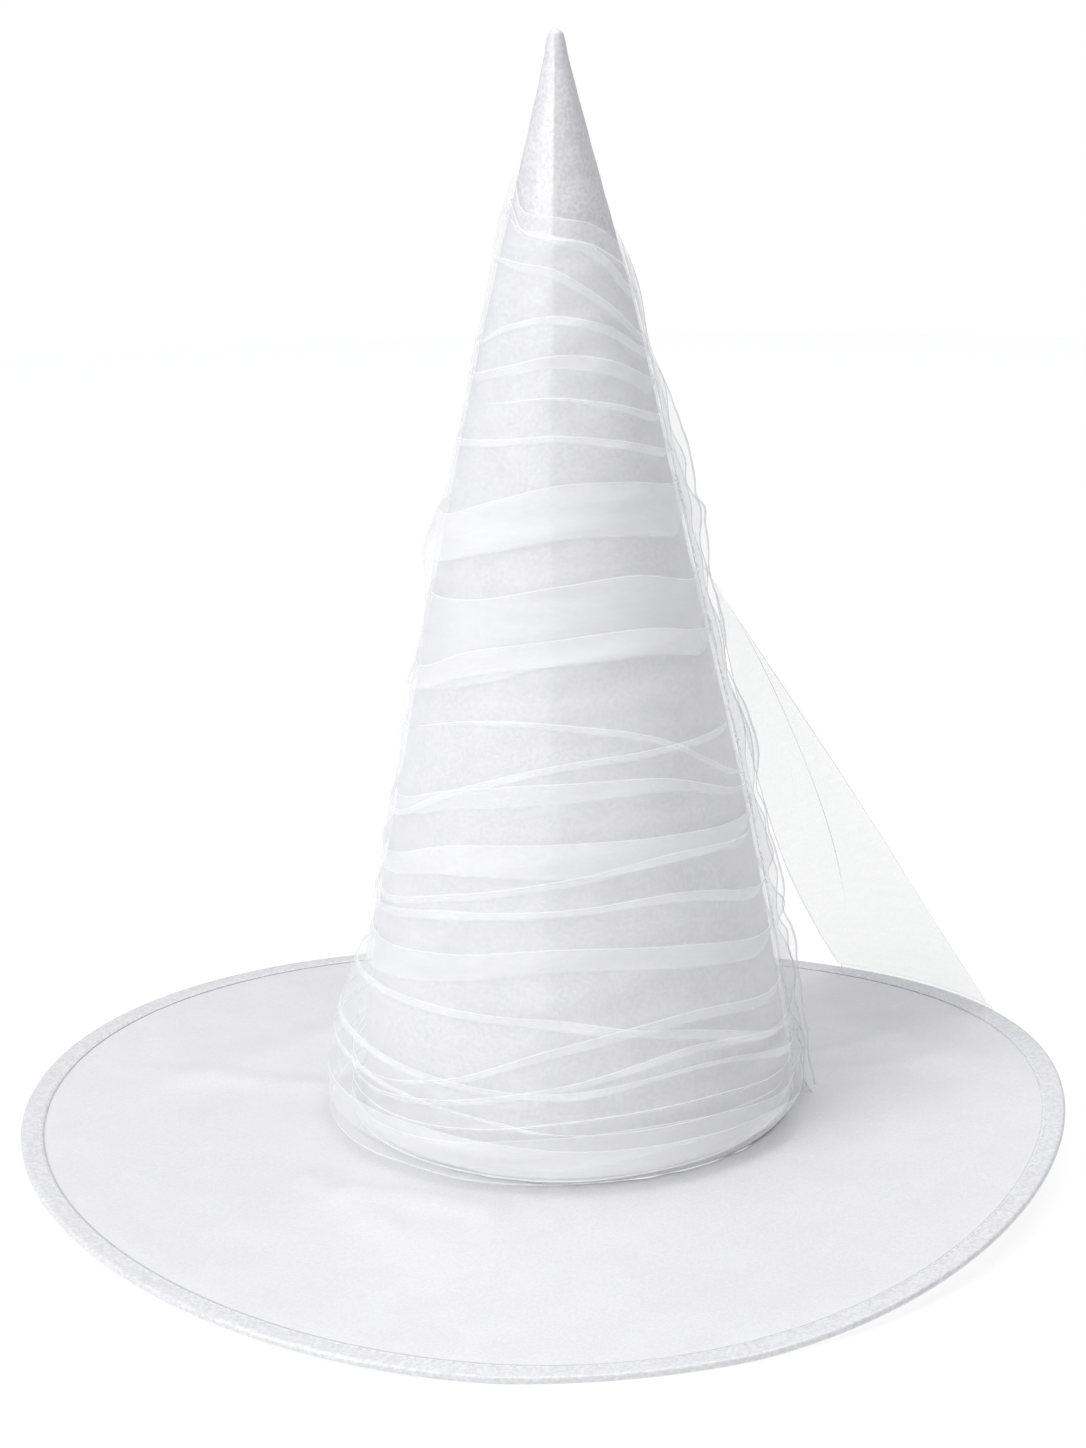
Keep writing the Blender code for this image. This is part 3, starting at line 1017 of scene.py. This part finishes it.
@dataclass
class SatinBrim:
    """The wide ring of stiffened satin, a little wavy, with tucks round the crown's foot."""

    form: HatForm
    top_rows: int = 46
    under_rows: int = 16
    steps: int = 320
    tucks: int = 34
    tuck_depth: float = 0.3 * MM
    wave_depth: float = 0.35 * MM
    fillet: float = 0.9 * MM
    fillet_reach: float = 0.012
    tuck_reach: float = 0.09
    row_spread: float = 1.15
    full_inset: float = 3.0 * MM
    thin_inset: float = 0.5 * MM
    under_wave: float = 0.5
    under_crease: float = 0.4

    def waves(self, share: Array, angle: Array) -> Array:
        """Small uneven heights of the satin's face."""
        turn = np.radians(angle)
        tuck = np.sin(self.tucks * turn + 2.1 * np.sin(3 * turn)) * np.sin(7 * turn + 0.8)
        near_foot = self.tuck_depth * tuck * np.exp(-share / self.tuck_reach)
        wide = np.sin(3 * turn + 5 * share + 0.6) + 0.6 * np.sin(5 * turn - 9 * share + 1.9)
        wide += 0.4 * np.sin(11 * turn + 6 * share) * np.sin(math.pi * share)
        return near_foot + self.wave_depth * wide * np.sin(math.pi * np.clip(share, 0, 1)) ** 2

    def build(self, finish: bpy.types.Material) -> bpy.types.Object:
        """Models the ring's top and underside."""
        form = self.form
        top = np.linspace(0, 1, self.top_rows) ** self.row_spread
        under = np.linspace(1, 0, self.under_rows)
        shares = np.concatenate([top, under])
        sides = np.concatenate([np.ones(self.top_rows), -np.ones(self.under_rows)])

        def share_of(width: float) -> float:
            """A width as a share of the brim's own."""
            return width / (form.cloth_edge - form.opening_radius)

        thin = share_of(form.binding_width + self.thin_inset)
        grows = share_of(self.full_inset - self.thin_inset)

        def place(station: Array, angle: Array) -> Array:
            """Points of the ring's two faces."""
            share, side = shares[station], sides[station]
            thick = ease((1 - share - thin) / grows)
            wall = form.edge_wall + (form.brim_wall - form.edge_wall) * thick
            point = form.brim_middle(share, angle)
            point[:, 2] += side * wall / 2
            point[:, 2] += np.where(side > 0, 1, self.under_wave) * self.waves(share, angle) * thick
            creased = ridge_height(point, SATIN_CREASES) * thick
            point[:, 2] += np.where(side > 0, 1, self.under_crease) * creased
            foot = share_of(form.crown_wall)
            rise = self.fillet * np.exp(-np.maximum(share - foot, 0) / self.fillet_reach)
            point[:, 2] += np.where((side > 0) & (share > foot * 0.9), rise, 0)
            return point

        piece = spun_shell("satin_brim", len(shares), self.steps, place, closed=True)
        dress(piece, "brim_satin", finish)
        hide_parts("brim")
        report(piece)
        return piece


@dataclass
class EdgeBinding:
    """The satin strip folded over the brim's edge, drawn in a little by its stitches."""

    form: HatForm
    steps: int = 640
    roll_points: int = 9
    top_lift: float = 1.3 * MM
    cloth: float = 0.45 * MM
    pucker: float = 0.16 * MM
    stitch_inset: float = 6.9 * MM
    stitch_length: float = 2.7 * MM
    stitch_space: float = 1.0 * MM
    stitch_width: float = 0.5 * MM

    def drawn_in(self, inset: Array, angle: Array) -> Array:
        """How much the stitches draw the strip in at an inset."""
        turn = np.radians(angle)
        uneven = 0.6 + 0.25 * np.sin(190 * turn + 3 * np.sin(5 * turn)) + 0.15 * np.sin(371 * turn)
        return self.pucker * uneven * bump(inset - self.stitch_inset, 1.3 * MM)

    def build(self, finish: bpy.types.Material) -> bpy.types.Object:
        """Models the strip as one closed wall round the edge."""
        form, width, flats = self.form, self.form.binding_width, 8
        above, below = self.top_lift, form.binding_half
        roll = np.radians(np.linspace(90, -90, self.roll_points))
        round_lift = np.where(roll > 0, above, below) * np.sin(roll)
        flat = np.linspace(width, 0.8 * MM, flats)
        outside = np.concatenate([flat, np.zeros(self.roll_points), flat[::-1]])
        lift = np.concatenate([np.full(flats, above), round_lift, np.full(flats, -below)])
        lift[0] -= 0.25 * MM
        lift[-1] += 0.25 * MM
        round_out = np.cos(roll) * (form.gap + form.binding_wall)
        beyond = np.concatenate([np.zeros(flats), round_out, np.zeros(flats)])
        roof, floor = above - self.cloth, self.cloth - below
        insets = np.concatenate([outside, [width, 0, 0, 0, width]])
        lifts = np.concatenate([lift, [floor, floor, 0, roof, roof]])
        beyonds = np.concatenate([beyond, [0, 0, form.gap, 0, 0]])

        def place(station: Array, angle: Array) -> Array:
            """Points of the strip round the brim's edge."""
            inset, lift_here = insets[station], lifts[station]
            point = form.brim_middle(form.share_in(inset, angle), angle)
            drawn = self.drawn_in(inset, angle) * np.sign(lift_here)
            point += outward(angle) * beyonds[station][:, None]
            skin = (lift_here > roof) | (lift_here < floor)
            point[:, 2] += lift_here - np.where(skin, drawn, 0)
            point[:, 2] = np.maximum(point[:, 2], 0)
            return point

        piece = spun_shell("edge_binding", len(insets), self.steps, place, closed=True)
        dress(piece, "binding_satin", finish)
        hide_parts("brim_binding")
        report(piece)
        return piece

    def build_stitches(self, thread: bpy.types.Material) -> bpy.types.Object:
        """Sews one row of stitches on the top of the strip and one under it."""
        form = self.form
        radius = form.cloth_edge - self.stitch_inset
        count = round(math.tau * radius / (self.stitch_length + self.stitch_space))
        sewing, mould = bmesh.new(), StitchMould(self.stitch_length, self.stitch_width)
        for side in (1, -1):
            for index in range(count):
                angle = np.array([360 * index / count])
                inset = np.array([self.stitch_inset])
                middle = form.brim_middle(form.share_in(inset, angle), angle)[0]
                sunk = float(self.drawn_in(inset, angle)[0])
                middle[2] += side * ((self.top_lift if side > 0 else form.binding_half) - sunk)
                middle[2] = max(middle[2], 0.25 * MM)
                heading = angle[0] + 90 + 2.5 * math.sin(index * 2.3)
                mould.sew(sewing, Vector(middle), heading, 0.0)
        piece = finish_piece("binding_stitches", sewing)
        dress(piece, "binding_satin", thread)
        report(piece)
        return piece


class StitchMould:
    """One plump stitch, copied along a seam as often as the sewing needs it."""

    def __init__(self, length: float, width: float) -> None:
        """Makes the stitch along X, thin at both ends.

        Args:
            length: The stitch's length.
            width: The thread's width.
        """
        form = bmesh.new()
        sized = Matrix.Diagonal((length / 2, width / 2, width / 2, 1))
        laid = Matrix.Rotation(math.pi / 2, 4, "Y")
        bmesh.ops.create_uvsphere(form, u_segments=6, v_segments=5, radius=1, matrix=sized @ laid)
        self.mesh = bpy.data.meshes.new("one_stitch")
        form.to_mesh(self.mesh)
        form.free()

    def sew(self, sewing: bmesh.types.BMesh, middle: Vector, heading: float, rise: float) -> None:
        """Adds one stitch to the sewing.

        Args:
            sewing: The bmesh that takes it.
            middle: The stitch's middle.
            heading: Its direction in plan, in degrees.
            rise: How steeply it climbs, in degrees.
        """
        turned = Matrix.Rotation(math.radians(heading), 4, "Z")
        turned = turned @ Matrix.Rotation(math.radians(-rise), 4, "Y")
        stitch = self.mesh.copy()
        stitch.transform(Matrix.Translation(middle) @ turned)
        sewing.from_mesh(stitch)
        bpy.data.meshes.remove(stitch)


class NetSide(Enum):
    """Which of the two wound nets a sheet is."""

    INNER = "inner"
    OUTER = "outer"


class ClothRow(NamedTuple):
    """One level row of points on a wound net: its heights, its stand-off, and what it ends."""

    height: Array
    off: Array
    dense: bool


@dataclass
class WoundNet:
    """One net wound round the crown from the gathered seam, drawn up into uneven pleats."""

    form: HatForm
    side: NetSide
    pleats: tuple[Pleat, ...]
    seed: float
    columns: int = 208
    layer_gap: float = 0.25 * MM
    lift: float = 0.3 * MM
    fold_radius: float = 0.22 * MM
    seam_bunch: float = 0.35
    ripple_depth: float = 1.6 * MM
    foot_ripple: float = 0.9
    slack: float = 0.5 * MM
    row_step: float = 2.5 * MM
    rest_gap: float = 0.5 * MM
    hem_width: float = 0.7 * MM
    crowding: float = 0.28
    nip: float = 0.3
    nip_width: float = 0.07
    calm_width: float = 0.05
    left_calm: float = 0.8
    drawn_share: float = 0.7
    bare_gap: float = 0.35 * MM
    inner_lift: float = 0.2 * MM
    inner_slack: float = 0.3
    snug: float = 2.2 * MM
    spare: float = 0.25 * MM
    fold_turns: tuple[int, ...] = (0, 60, 120, 180)
    table_angles: tuple[float, ...] = (-22, -58, -95, -130, -165)
    turns: Array = field(init=False)

    def __post_init__(self) -> None:
        """Sets the columns out, closer together near the seam."""
        even = np.linspace(0, 1, self.columns + 1)
        self.turns = even - self.crowding * np.sin(math.tau * even) / math.tau

    @property
    def angles(self) -> Array:
        """The columns' angles, from the seam round the front."""
        return self.form.seam_angle - 360 * self.turns

    def round_hat(self, right: float, values: Sequence[float], back: float) -> Array:
        """A value round the hat that runs smoothly through the table's angles.

        Args:
            right: The value at the seam.
            values: The values at the table's angles.
            back: The value at the back.

        Returns:
            The value at each column.
        """
        places = [(self.form.seam_angle - angle) / 360 for angle in self.table_angles]
        keys = [0, *places, (self.form.seam_angle + 270) / 360, 1]
        return read_smooth(keys, [right, *values, back, right], self.turns)

    def fold_height(self, pleat: Pleat, index: int) -> Array:
        """Height of a pleat's top fold at each column."""
        front = pleat[:5]
        at_seam = front[0] + (front[0] - front[1]) * self.seam_bunch
        back = (front[0] + front[4]) / 2 + 1.5 * math.sin(2.4 * index + self.seed)
        return self.round_hat(at_seam, front, back) * MM

    def fold_depth(self, pleat: Pleat) -> Array:
        """Depth of a pleat at each column. It is nipped in at the seam."""
        right, front, left = pleat[5:]
        values = (right, (right + front) / 2, front, (front + left) / 2, left)
        near_seam = np.minimum(self.turns, 1 - self.turns)
        nip = self.nip + (1 - self.nip) * ease(near_seam / self.nip_width)
        return np.maximum(self.round_hat(right, values, (right + left) / 2), 0) * nip * MM

    def stand_off(self, height: Array) -> Array:
        """How far the outermost net stands off the crown at each column."""
        turn = np.radians(self.angles)
        total = np.zeros_like(height)
        sides = ((STAND_OFFS, "right", 0), (STAND_OFFS, "back", 90), (SCALLOPS, "left", 180),
                 (STAND_OFFS, "front", 270))
        for table, name, side in sides:
            share = np.maximum(np.cos(turn - math.radians(side)), 0) ** 2
            off = read_smooth(column(table, "height"), column(table, name), height / MM)
            total += share * off
        return total * MM

    def base(self, height: Array) -> Array:
        """Where this net's lowest layer lies off the crown."""
        stand = self.stand_off(height)
        near_seam = np.minimum(self.turns, 1 - self.turns)
        calm = ease(near_seam / self.calm_width)
        calm *= 1 - self.left_calm * np.maximum(-np.cos(np.radians(self.angles)), 0) ** 3
        deep = self.ripple_depth * (1 + self.foot_ripple * ease((120 * MM - height) / (80 * MM)))
        wave = deep * ripple(self.angles, height, self.seed) * calm
        drawn = self.form.drawn_over(self.angles, height)
        stand = stand - self.drawn_share * np.maximum(drawn, 0)
        bare = self.bare_gap - drawn
        inner = bare + self.inner_lift + self.inner_slack * np.maximum(stand - self.snug, 0)
        if self.side is NetSide.INNER:
            return np.maximum(inner + self.inner_slack * wave, bare)
        least = inner + 2 * self.layer_gap + self.spare
        return np.maximum(stand + self.lift - 2 * self.layer_gap + wave, least)

    def between(self, gap: Array) -> Array:
        """Even shares across a strip, as many as its height asks for."""
        count = max(int(gap.mean() / self.row_step), 1)
        return np.arange(1, count + 1) / (count + 1)

    def bend(self, height: Array, off: Array, way: int, radius: Array) -> list[ClothRow]:
        """The rounded turn of a fold, from one layer to the next.

        Args:
            height: Where the fold ends.
            off: Where the layer that comes into the fold lies off the crown.
            way: 1 for a fold at the top of a pleat, -1 for one at its foot.
            radius: The fold's own radius.

        Returns:
            The rows of the turn. Only a fold at the top catches the light.
        """
        rows = []
        for degrees in self.fold_turns:
            turn = math.radians(degrees)
            at = height + way * radius * (math.sin(turn) - 1)
            out = off + self.layer_gap * (1 - math.cos(turn)) / 2
            rows.append(ClothRow(at, out, way > 0))
        return rows

    def cloth_rows(self) -> list[ClothRow]:
        """Every row of the net, from its top hem to its lower hem."""
        tops = [self.fold_height(pleat, index) for index, pleat in enumerate(self.pleats)]
        hem, last, gap = tops[0], tops[-1], self.layer_gap
        over = hem - self.hem_width
        rows = [ClothRow(hem, self.base(hem), True), ClothRow(over, self.base(over), True)]
        fall = np.zeros_like(hem)
        for index in range(1, len(tops) - 1):
            top, room = tops[index], tops[index] - tops[index + 1]
            depth = np.minimum(self.fold_depth(self.pleats[index]), 0.9 * room - 1.5 * MM)
            depth = np.maximum(depth, 0.05 * MM)
            radius = np.minimum(self.fold_radius, depth / 4)
            foot = top - depth
            for share in self.between(over - top):
                at = over + (top - over) * share
                rows.append(ClothRow(at, self.base(at) + fall * (1 - ease(share * 1.4)), False))
            rows.append(ClothRow(top, self.base(top), False))
            shares = self.between(depth)
            rows += [ClothRow(at, self.base(at), False) for at in (top - depth * shares[:, None])]
            rows += self.bend(foot, self.base(foot), -1, radius)
            for share in shares[::-1]:
                at = top - depth * share
                rows.append(ClothRow(at, self.base(at) + gap, False))
            rows += self.bend(top, self.base(top) + gap, 1, radius)
            loose = self.slack * ease(depth / (8 * MM))
            for share in shares:
                at = top - depth * share
                hang = 2 * gap + loose * math.sin(math.pi * share * 0.8)
                rows.append(ClothRow(at, self.base(at) + hang, False))
            over, fall = foot - 0.2 * MM, 2 * gap + 0.5 * loose
            rows.append(ClothRow(over, self.base(over) + fall, False))
        for share in self.between(over - last):
            at = over + (last - over) * share
            rows.append(ClothRow(at, self.base(at) + fall * (1 - share), False))
        rows.append(ClothRow(last + self.hem_width, self.base(last), True))
        rows.append(ClothRow(last, self.base(last), True))
        return rows

    def build(self, finish: bpy.types.Material, fold: bpy.types.Material) -> bpy.types.Object:
        """Models the net and says how large its cut is."""
        rows = self.cloth_rows()
        angles = np.broadcast_to(self.angles, (len(rows), self.columns + 1))
        offs = np.array([row.off for row in rows])
        heights = np.array([row.height for row in rows])
        heights = np.maximum(heights, self.form.on_brim(angles, offs) + self.rest_gap)
        points = self.form.off_crown(angles, heights, offs)
        dense = [a.dense and b.dense for a, b in zip(rows, rows[1:])]
        steps = np.linalg.norm(np.diff(points, axis=0), axis=-1).mean(axis=1)
        length = np.concatenate([[0], np.cumsum(steps)])
        width = math.tau * self.form.crown_radius(np.array(100 * MM)).item()
        cloth = np.stack(
            [
                np.broadcast_to(self.turns * width, angles.shape),
                np.broadcast_to(length[:, None], angles.shape),
            ],
            axis=-1,
        )
        name = f"{self.side.value}_veil"
        folds = np.broadcast_to(np.array(dense)[:, None], (len(dense), self.columns))
        piece = laid_net(name, points, cloth, folds)
        dress(piece, "wound_net", finish, fold)
        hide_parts("veil_wrap")
        area = float(sum(face.area for face in piece.data.polygons))
        LOG.info("%s: cut %.3f m long, area %.4f m2", name, length[-1], area)
        report(piece)
        return piece


@dataclass
class GatheredEdge:
    """The net's free edge beyond the gathering thread, which stands out in ruffles."""

    form: HatForm
    name: str
    ruffles: tuple[Ruffle, ...]
    seed: float
    rows: int = 300
    columns: int = 8
    root: float = 1.2 * MM
    flutter: float = 0.9 * MM
    lip_start: float = 0.88
    lip_curve: float = 0.85
    sway_curve: float = 1.3

    def build(self, finish: bpy.types.Material, fold: bpy.types.Material) -> bpy.types.Object:
        """Models the ruffled strip from the seam to its lip."""
        form, keys = self.form, column(self.ruffles, "height")
        height = np.linspace(keys[0], keys[-1], self.rows + 1)[:, None] * MM
        lip = read_smooth(keys, column(self.ruffles, "lip"), height / MM) * MM
        sway = read_smooth(keys, column(self.ruffles, "sway"), height / MM) * MM
        across = np.append(np.linspace(0, self.lip_start, self.columns), 1.0)[None, :]
        small = np.sin(height / (1.7 * MM) + 2 * np.sin(height / (13 * MM)) + self.seed)
        root = self.root - form.drawn_over(np.array(form.seam_angle), height)
        off = root + (lip - root) * across**self.lip_curve
        wide = ease((lip - 2 * MM) / (4 * MM))
        side = sway * across**self.sway_curve + self.flutter * small * across**2 * wide
        level = np.broadcast_to(height, off.shape) + 0.5 * np.abs(sway) * across
        angles = np.full(off.shape, form.seam_angle)
        points = form.off_crown(angles, level, off)
        points += outward(angles + 90) * side[..., None]
        cloth = np.stack([off * 4, np.broadcast_to(height * 1.6, off.shape)], axis=-1)
        edge = np.zeros((self.rows, self.columns), bool)
        edge[:, -1] = True
        piece = laid_net(self.name, points, cloth, edge)
        dress(piece, "gathered_net", finish, fold)
        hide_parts("veil_gather")
        report(piece)
        return piece


@dataclass
class GatherThread:
    """The shiny thread that draws the veil up, in small uneven stitches down the seam."""

    form: HatForm
    top: float = 300 * MM
    foot: float = 24 * MM
    pitch: float = 3.4 * MM
    length: float = 2.4 * MM
    width: float = 0.36 * MM

    def build(self, thread: bpy.types.Material) -> bpy.types.Object:
        """Sews the thread on both sides of the ruffles."""
        sewing, mould = bmesh.new(), StitchMould(self.length, self.width)
        count = int((self.top - self.foot) / self.pitch)
        for side in (-1, 1):
            for index in range(count):
                if math.sin(index * 0.83 + 2.1 * side) < -0.1:
                    continue
                height = np.array(self.top - index * self.pitch)
                stray = 0.5 * math.sin(index * 1.9 + side) + 0.3 * math.sin(index * 0.37)
                angle = np.array(self.form.seam_angle)
                lift = (1.9 + 0.15 * stray) * MM - self.form.drawn_over(angle, height)
                point = self.form.off_crown(angle, height, lift)
                point = point + outward(angle + 90) * (side * 1.3 + 0.9 * stray) * MM
                rise = 97 + 34 * math.sin(index * 2.7 + side)
                mould.sew(sewing, Vector(point), self.form.seam_angle, rise)
        piece = finish_piece("gather_stitches", sewing)
        dress(piece, "gathered_net", thread)
        report(piece)
        return piece


@dataclass
class HangingNet:
    """The veil's loose end, from the pinch on the crown over the brim's edge."""

    form: HatForm
    inner_columns: int = 26
    outer_columns: int = 26
    fall_rows: int = 90
    bend_rows: int = 12
    edge_width: float = 0.45 * MM
    crease_width: float = 0.8 * MM
    crease_edge: float = 1.6 * MM
    foot_width: float = 100 * MM
    inner_draw: float = 3.5 * MM
    wrinkle: float = 0.5 * MM
    top: float = 248 * MM
    root: float = 3.2 * MM
    start_angle: float = 8.0
    top_start: float = 6.3 * MM
    top_width: float = 7 * MM
    top_run: tuple[float, float, float] = (0.330, 0.944, 0)
    inner_sag: float = 21 * MM
    outer_sag: float = -2 * MM
    inner_angle: float = 50.0
    outer_angle: float = 23.5
    hem_out: float = 2.1 * MM
    hem_height: float = 1.6 * MM
    crease_height: float = 3.5 * MM
    crease_rise: tuple[float, float, float] = (0.447, -0.745, 0.496)
    crease_top: float = 0.86
    crease_foot: float = 0.10
    crease_half: float = 0.14

    def bends(self, angle: Array) -> Array:
        """Points where the net turns over the brim's edge, and its hem, for each column."""
        direction = outward(angle)
        rim = direction * self.form.brim_radius + upward(self.form.edge(angle))
        points = [rim + direction * bend.out * MM + upward(np.full_like(angle, bend.up * MM))
                  for bend in HANGING_BENDS]
        hem = direction * (self.form.brim_radius + self.hem_out)
        hem[:, 2] = self.hem_height
        return np.array([*points, hem])

    def spread(self, share: Array) -> Array:
        """Where each column lies across the net, with one pair of columns along the crease."""
        line = self.crease_top + (self.crease_foot - self.crease_top) * share
        width = self.top_width + (self.foot_width - self.top_width) * share
        edge = np.minimum(self.edge_width / width, 0.04)
        crease = self.crease_width * ease((0.8 - share) / 0.35) + 0.03 * MM
        start = line + np.minimum(crease / width, 0.07)
        inner = np.linspace(0, 1, self.inner_columns)[None, :]
        outer = np.linspace(0, 1, self.outer_columns)[None, :]
        before = edge + (line - edge) * inner
        after = start + (1 - edge - start) * outer
        return np.concatenate([0 * line, before, after, 0 * line + 1], axis=1)

    def build(self, finish: bpy.types.Material, fold: bpy.types.Material) -> bpy.types.Object:
        """Models the hanging net with its long crease and finished edges."""
        share = np.linspace(0, 1, self.fall_rows + 1)[:, None]
        across = self.spread(share)
        root = self.form.off_crown(
            np.array(self.start_angle), np.array(self.top), np.array(self.root)
        )
        run = np.array(self.top_run)
        start = root + (self.top_start - self.top_width * across)[..., None] * run
        angle = self.inner_angle + (self.outer_angle - self.inner_angle) * across
        arch = np.sin(math.pi * share)
        end = self.bends(angle.ravel())[0].reshape(start.shape)
        points = start + (end - start) * share[..., None]
        points[..., 2] -= (self.inner_sag + (self.outer_sag - self.inner_sag) * across) * arch
        points[..., 0] -= self.inner_draw * (1 - across) * arch
        line = self.crease_top + (self.crease_foot - self.crease_top) * share
        away = across - line
        fade = ease((0.95 - share) / 0.45)
        lift = self.crease_height * bump(away, self.crease_half) * arch
        lift += self.crease_edge * np.exp(-np.abs(away) / 0.05) * arch * fade
        lift += self.wrinkle * np.sin(24 * across + 6 * share) * arch * ease(share / 0.3)
        lift += self.wrinkle * np.sin(9 * across - 14 * share) * arch * ease((share - 0.5) / 0.3)
        points += lift[..., None] * np.array(self.crease_rise)
        bends = self.bends(angle[-1])
        steps = np.linspace(0, len(bends) - 1, self.bend_rows + 1)[1:]
        points = np.concatenate([points, np.array([read_path(bends, step) for step in steps])])
        down = np.linalg.norm(np.diff(points, axis=0), axis=-1).mean(axis=1)
        length = np.concatenate([[0], np.cumsum(down)])
        width = np.linalg.norm(points[self.fall_rows, 0] - points[self.fall_rows, -1])
        spread = np.concatenate([across, np.repeat(across[-1:], self.bend_rows, axis=0)])
        cloth = np.stack([spread * width, np.broadcast_to(length[:, None], spread.shape)], axis=-1)
        dense = np.zeros((points.shape[0] - 1, points.shape[1] - 1), bool)
        dense[:, [0, -1]] = True
        dense[-1] = True
        dense[: int(0.8 * self.fall_rows), self.inner_columns] = True
        piece = laid_net("hanging_veil", points, cloth, dense)
        dress(piece, "hanging_net", finish, fold)
        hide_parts("veil_tail")
        LOG.info("hanging net: %.3f m wide, %.3f m long", width, length[-1])
        report(piece)
        return piece


def read_path(points: Array, at: float) -> Array:
    """Reads rows of points along the smooth path that they make."""
    keys = np.arange(len(points))
    flat = points.reshape(len(points), -1)
    read = [read_smooth(keys, flat[:, index], np.array(at)) for index in range(flat.shape[1])]
    return np.array(read).reshape(points.shape[1:])


class SoftLight(NamedTuple):
    """One softbox: where it stands, what it looks at, its sides and its power."""

    name: str
    place: tuple[float, float, float]
    aim: tuple[float, float, float]
    width: float
    height: float
    power: float


@dataclass
class Studio:
    """A pale floor, soft studio light and the photograph's viewpoint."""

    lights: tuple[SoftLight, ...] = (
        SoftLight("key_softbox", (-1.7, -1.5, 1.5), (0, 0, 0.2), 1.4, 1.8, 41),
        SoftLight("top_softbox", (0.1, 0.2, 2.6), (0, 0, 0), 2.4, 2.4, 50),
    )
    ambient: float = 0.30
    camera_place: tuple[float, float, float] = (0, -1.40841, 0.63619)
    camera_right: tuple[float, float, float] = (0.99972158, -0.00964726, -0.0215333)
    camera_up: tuple[float, float, float] = (0.02344931, 0.30474414, 0.95214555)
    camera_ahead: tuple[float, float, float] = (0.00262345, 0.9523854, -0.30488551)
    lens: float = 3600 / 1448 * 36
    floor_radius: float = 1.7
    floor_glow: float = 0.79
    floor_white: float = 0.26
    layers_seen_through: int = 20

    def build(self) -> None:
        """Sets up the floor, the light and the camera."""
        self.build_floor()
        self.build_world()
        for light in self.lights:
            self.build_light(light)
        self.build_camera()
        bpy.context.scene.view_settings.view_transform = "Standard"
        bpy.context.scene.cycles.transparent_max_bounces = self.layers_seen_through

    def build_floor(self) -> None:
        """Lays the pale floor."""
        form = bmesh.new()
        bmesh.ops.create_circle(form, segments=96, radius=self.floor_radius, cap_ends=True)
        floor = finish_piece("studio_floor", form)
        bench = NodeBench("pale_floor")
        bench.set(
            Base_Color=(self.floor_white, self.floor_white, self.floor_white, 1),
            Roughness=1.0,
            Specular_IOR_Level=0.0,
            Emission_Color=(1, 1, 1, 1),
            Emission_Strength=self.floor_glow,
        )
        floor.data.materials.append(bench.material)

    def build_world(self) -> None:
        """Fills the room with even light."""
        world = bpy.data.worlds.new("studio_room")
        world.use_nodes = True
        bpy.context.scene.world = world
        nodes, links = world.node_tree.nodes, world.node_tree.links
        room = nodes["Background"]
        room.inputs["Color"].default_value = (0.97, 0.98, 1.0, 1)
        room.inputs["Strength"].default_value = self.ambient
        seen = nodes.new("ShaderNodeBackground")
        seen.inputs["Color"].default_value = (1, 1, 1, 1)
        path, mix = nodes.new("ShaderNodeLightPath"), nodes.new("ShaderNodeMixShader")
        links.new(path.outputs["Is Camera Ray"], mix.inputs["Fac"])
        links.new(room.outputs["Background"], mix.inputs[1])
        links.new(seen.outputs["Background"], mix.inputs[2])
        links.new(mix.outputs["Shader"], nodes["World Output"].inputs["Surface"])

    def build_light(self, light: SoftLight) -> None:
        """Stands one softbox up."""
        data = bpy.data.lights.new(light.name, "AREA")
        data.shape, data.size, data.size_y = "RECTANGLE", light.width, light.height
        data.energy = light.power
        lamp = bpy.data.objects.new(light.name, data)
        lamp.location = light.place
        ahead = Vector(light.aim) - Vector(light.place)
        lamp.rotation_euler = ahead.to_track_quat("-Z", "Y").to_euler()
        bpy.context.scene.collection.objects.link(lamp)

    def build_camera(self) -> None:
        """Puts the camera at the photograph's viewpoint."""
        data = bpy.data.cameras.new("photo_view")
        data.lens, data.sensor_width, data.sensor_fit = self.lens, 36, "AUTO"
        data.clip_start, data.clip_end = 0.01, 50
        camera = bpy.data.objects.new("photo_view", data)
        back = -Vector(self.camera_ahead)
        turned = Matrix((self.camera_right, self.camera_up, back)).transposed().to_4x4()
        camera.matrix_world = Matrix.Translation(self.camera_place) @ turned
        bpy.context.scene.collection.objects.link(camera)
        bpy.context.scene.camera = camera


def main() -> None:
    """Builds the hat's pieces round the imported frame."""
    logging.basicConfig(level=logging.INFO, format="%(relativeCreated)6.0f ms %(message)s")
    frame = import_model()
    LOG.info("frame: %d packed solids", len(frame["nodes"]))
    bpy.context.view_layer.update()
    form, rack = HatForm(), FinishRack()
    SatinCrown(form).build(rack.crown)
    SatinBrim(form).build(rack.brim)
    binding = EdgeBinding(form)
    strip = binding.build(rack.binding)
    stitches = binding.build_stitches(rack.stitch)
    inner = WoundNet(form, NetSide.INNER, INNER_PLEATS, 1.3).build(rack.wound, rack.inner_fold)
    outer = WoundNet(form, NetSide.OUTER, OUTER_PLEATS, 4.1).build(rack.wound, rack.outer_fold)
    near = GatheredEdge(form, "near_ruffle", NEAR_RUFFLES, 0.0)
    near_piece = near.build(rack.gathered, rack.gathered_edge_painted_shade)
    middle = GatheredEdge(form, "middle_ruffle", MIDDLE_RUFFLES, 1.0)
    middle_piece = middle.build(rack.gathered, rack.gathered_edge_painted_shade)
    far = GatheredEdge(form, "far_ruffle", FAR_RUFFLES, 2.0)
    far_piece = far.build(rack.gathered, rack.gathered_edge_painted_shade)
    thread = GatherThread(form).build(rack.gather_thread)
    hanging = HangingNet(form).build(rack.hanging, rack.hanging_edge_painted_shade)
    Studio().build()


if __name__ == "__main__":
    main()
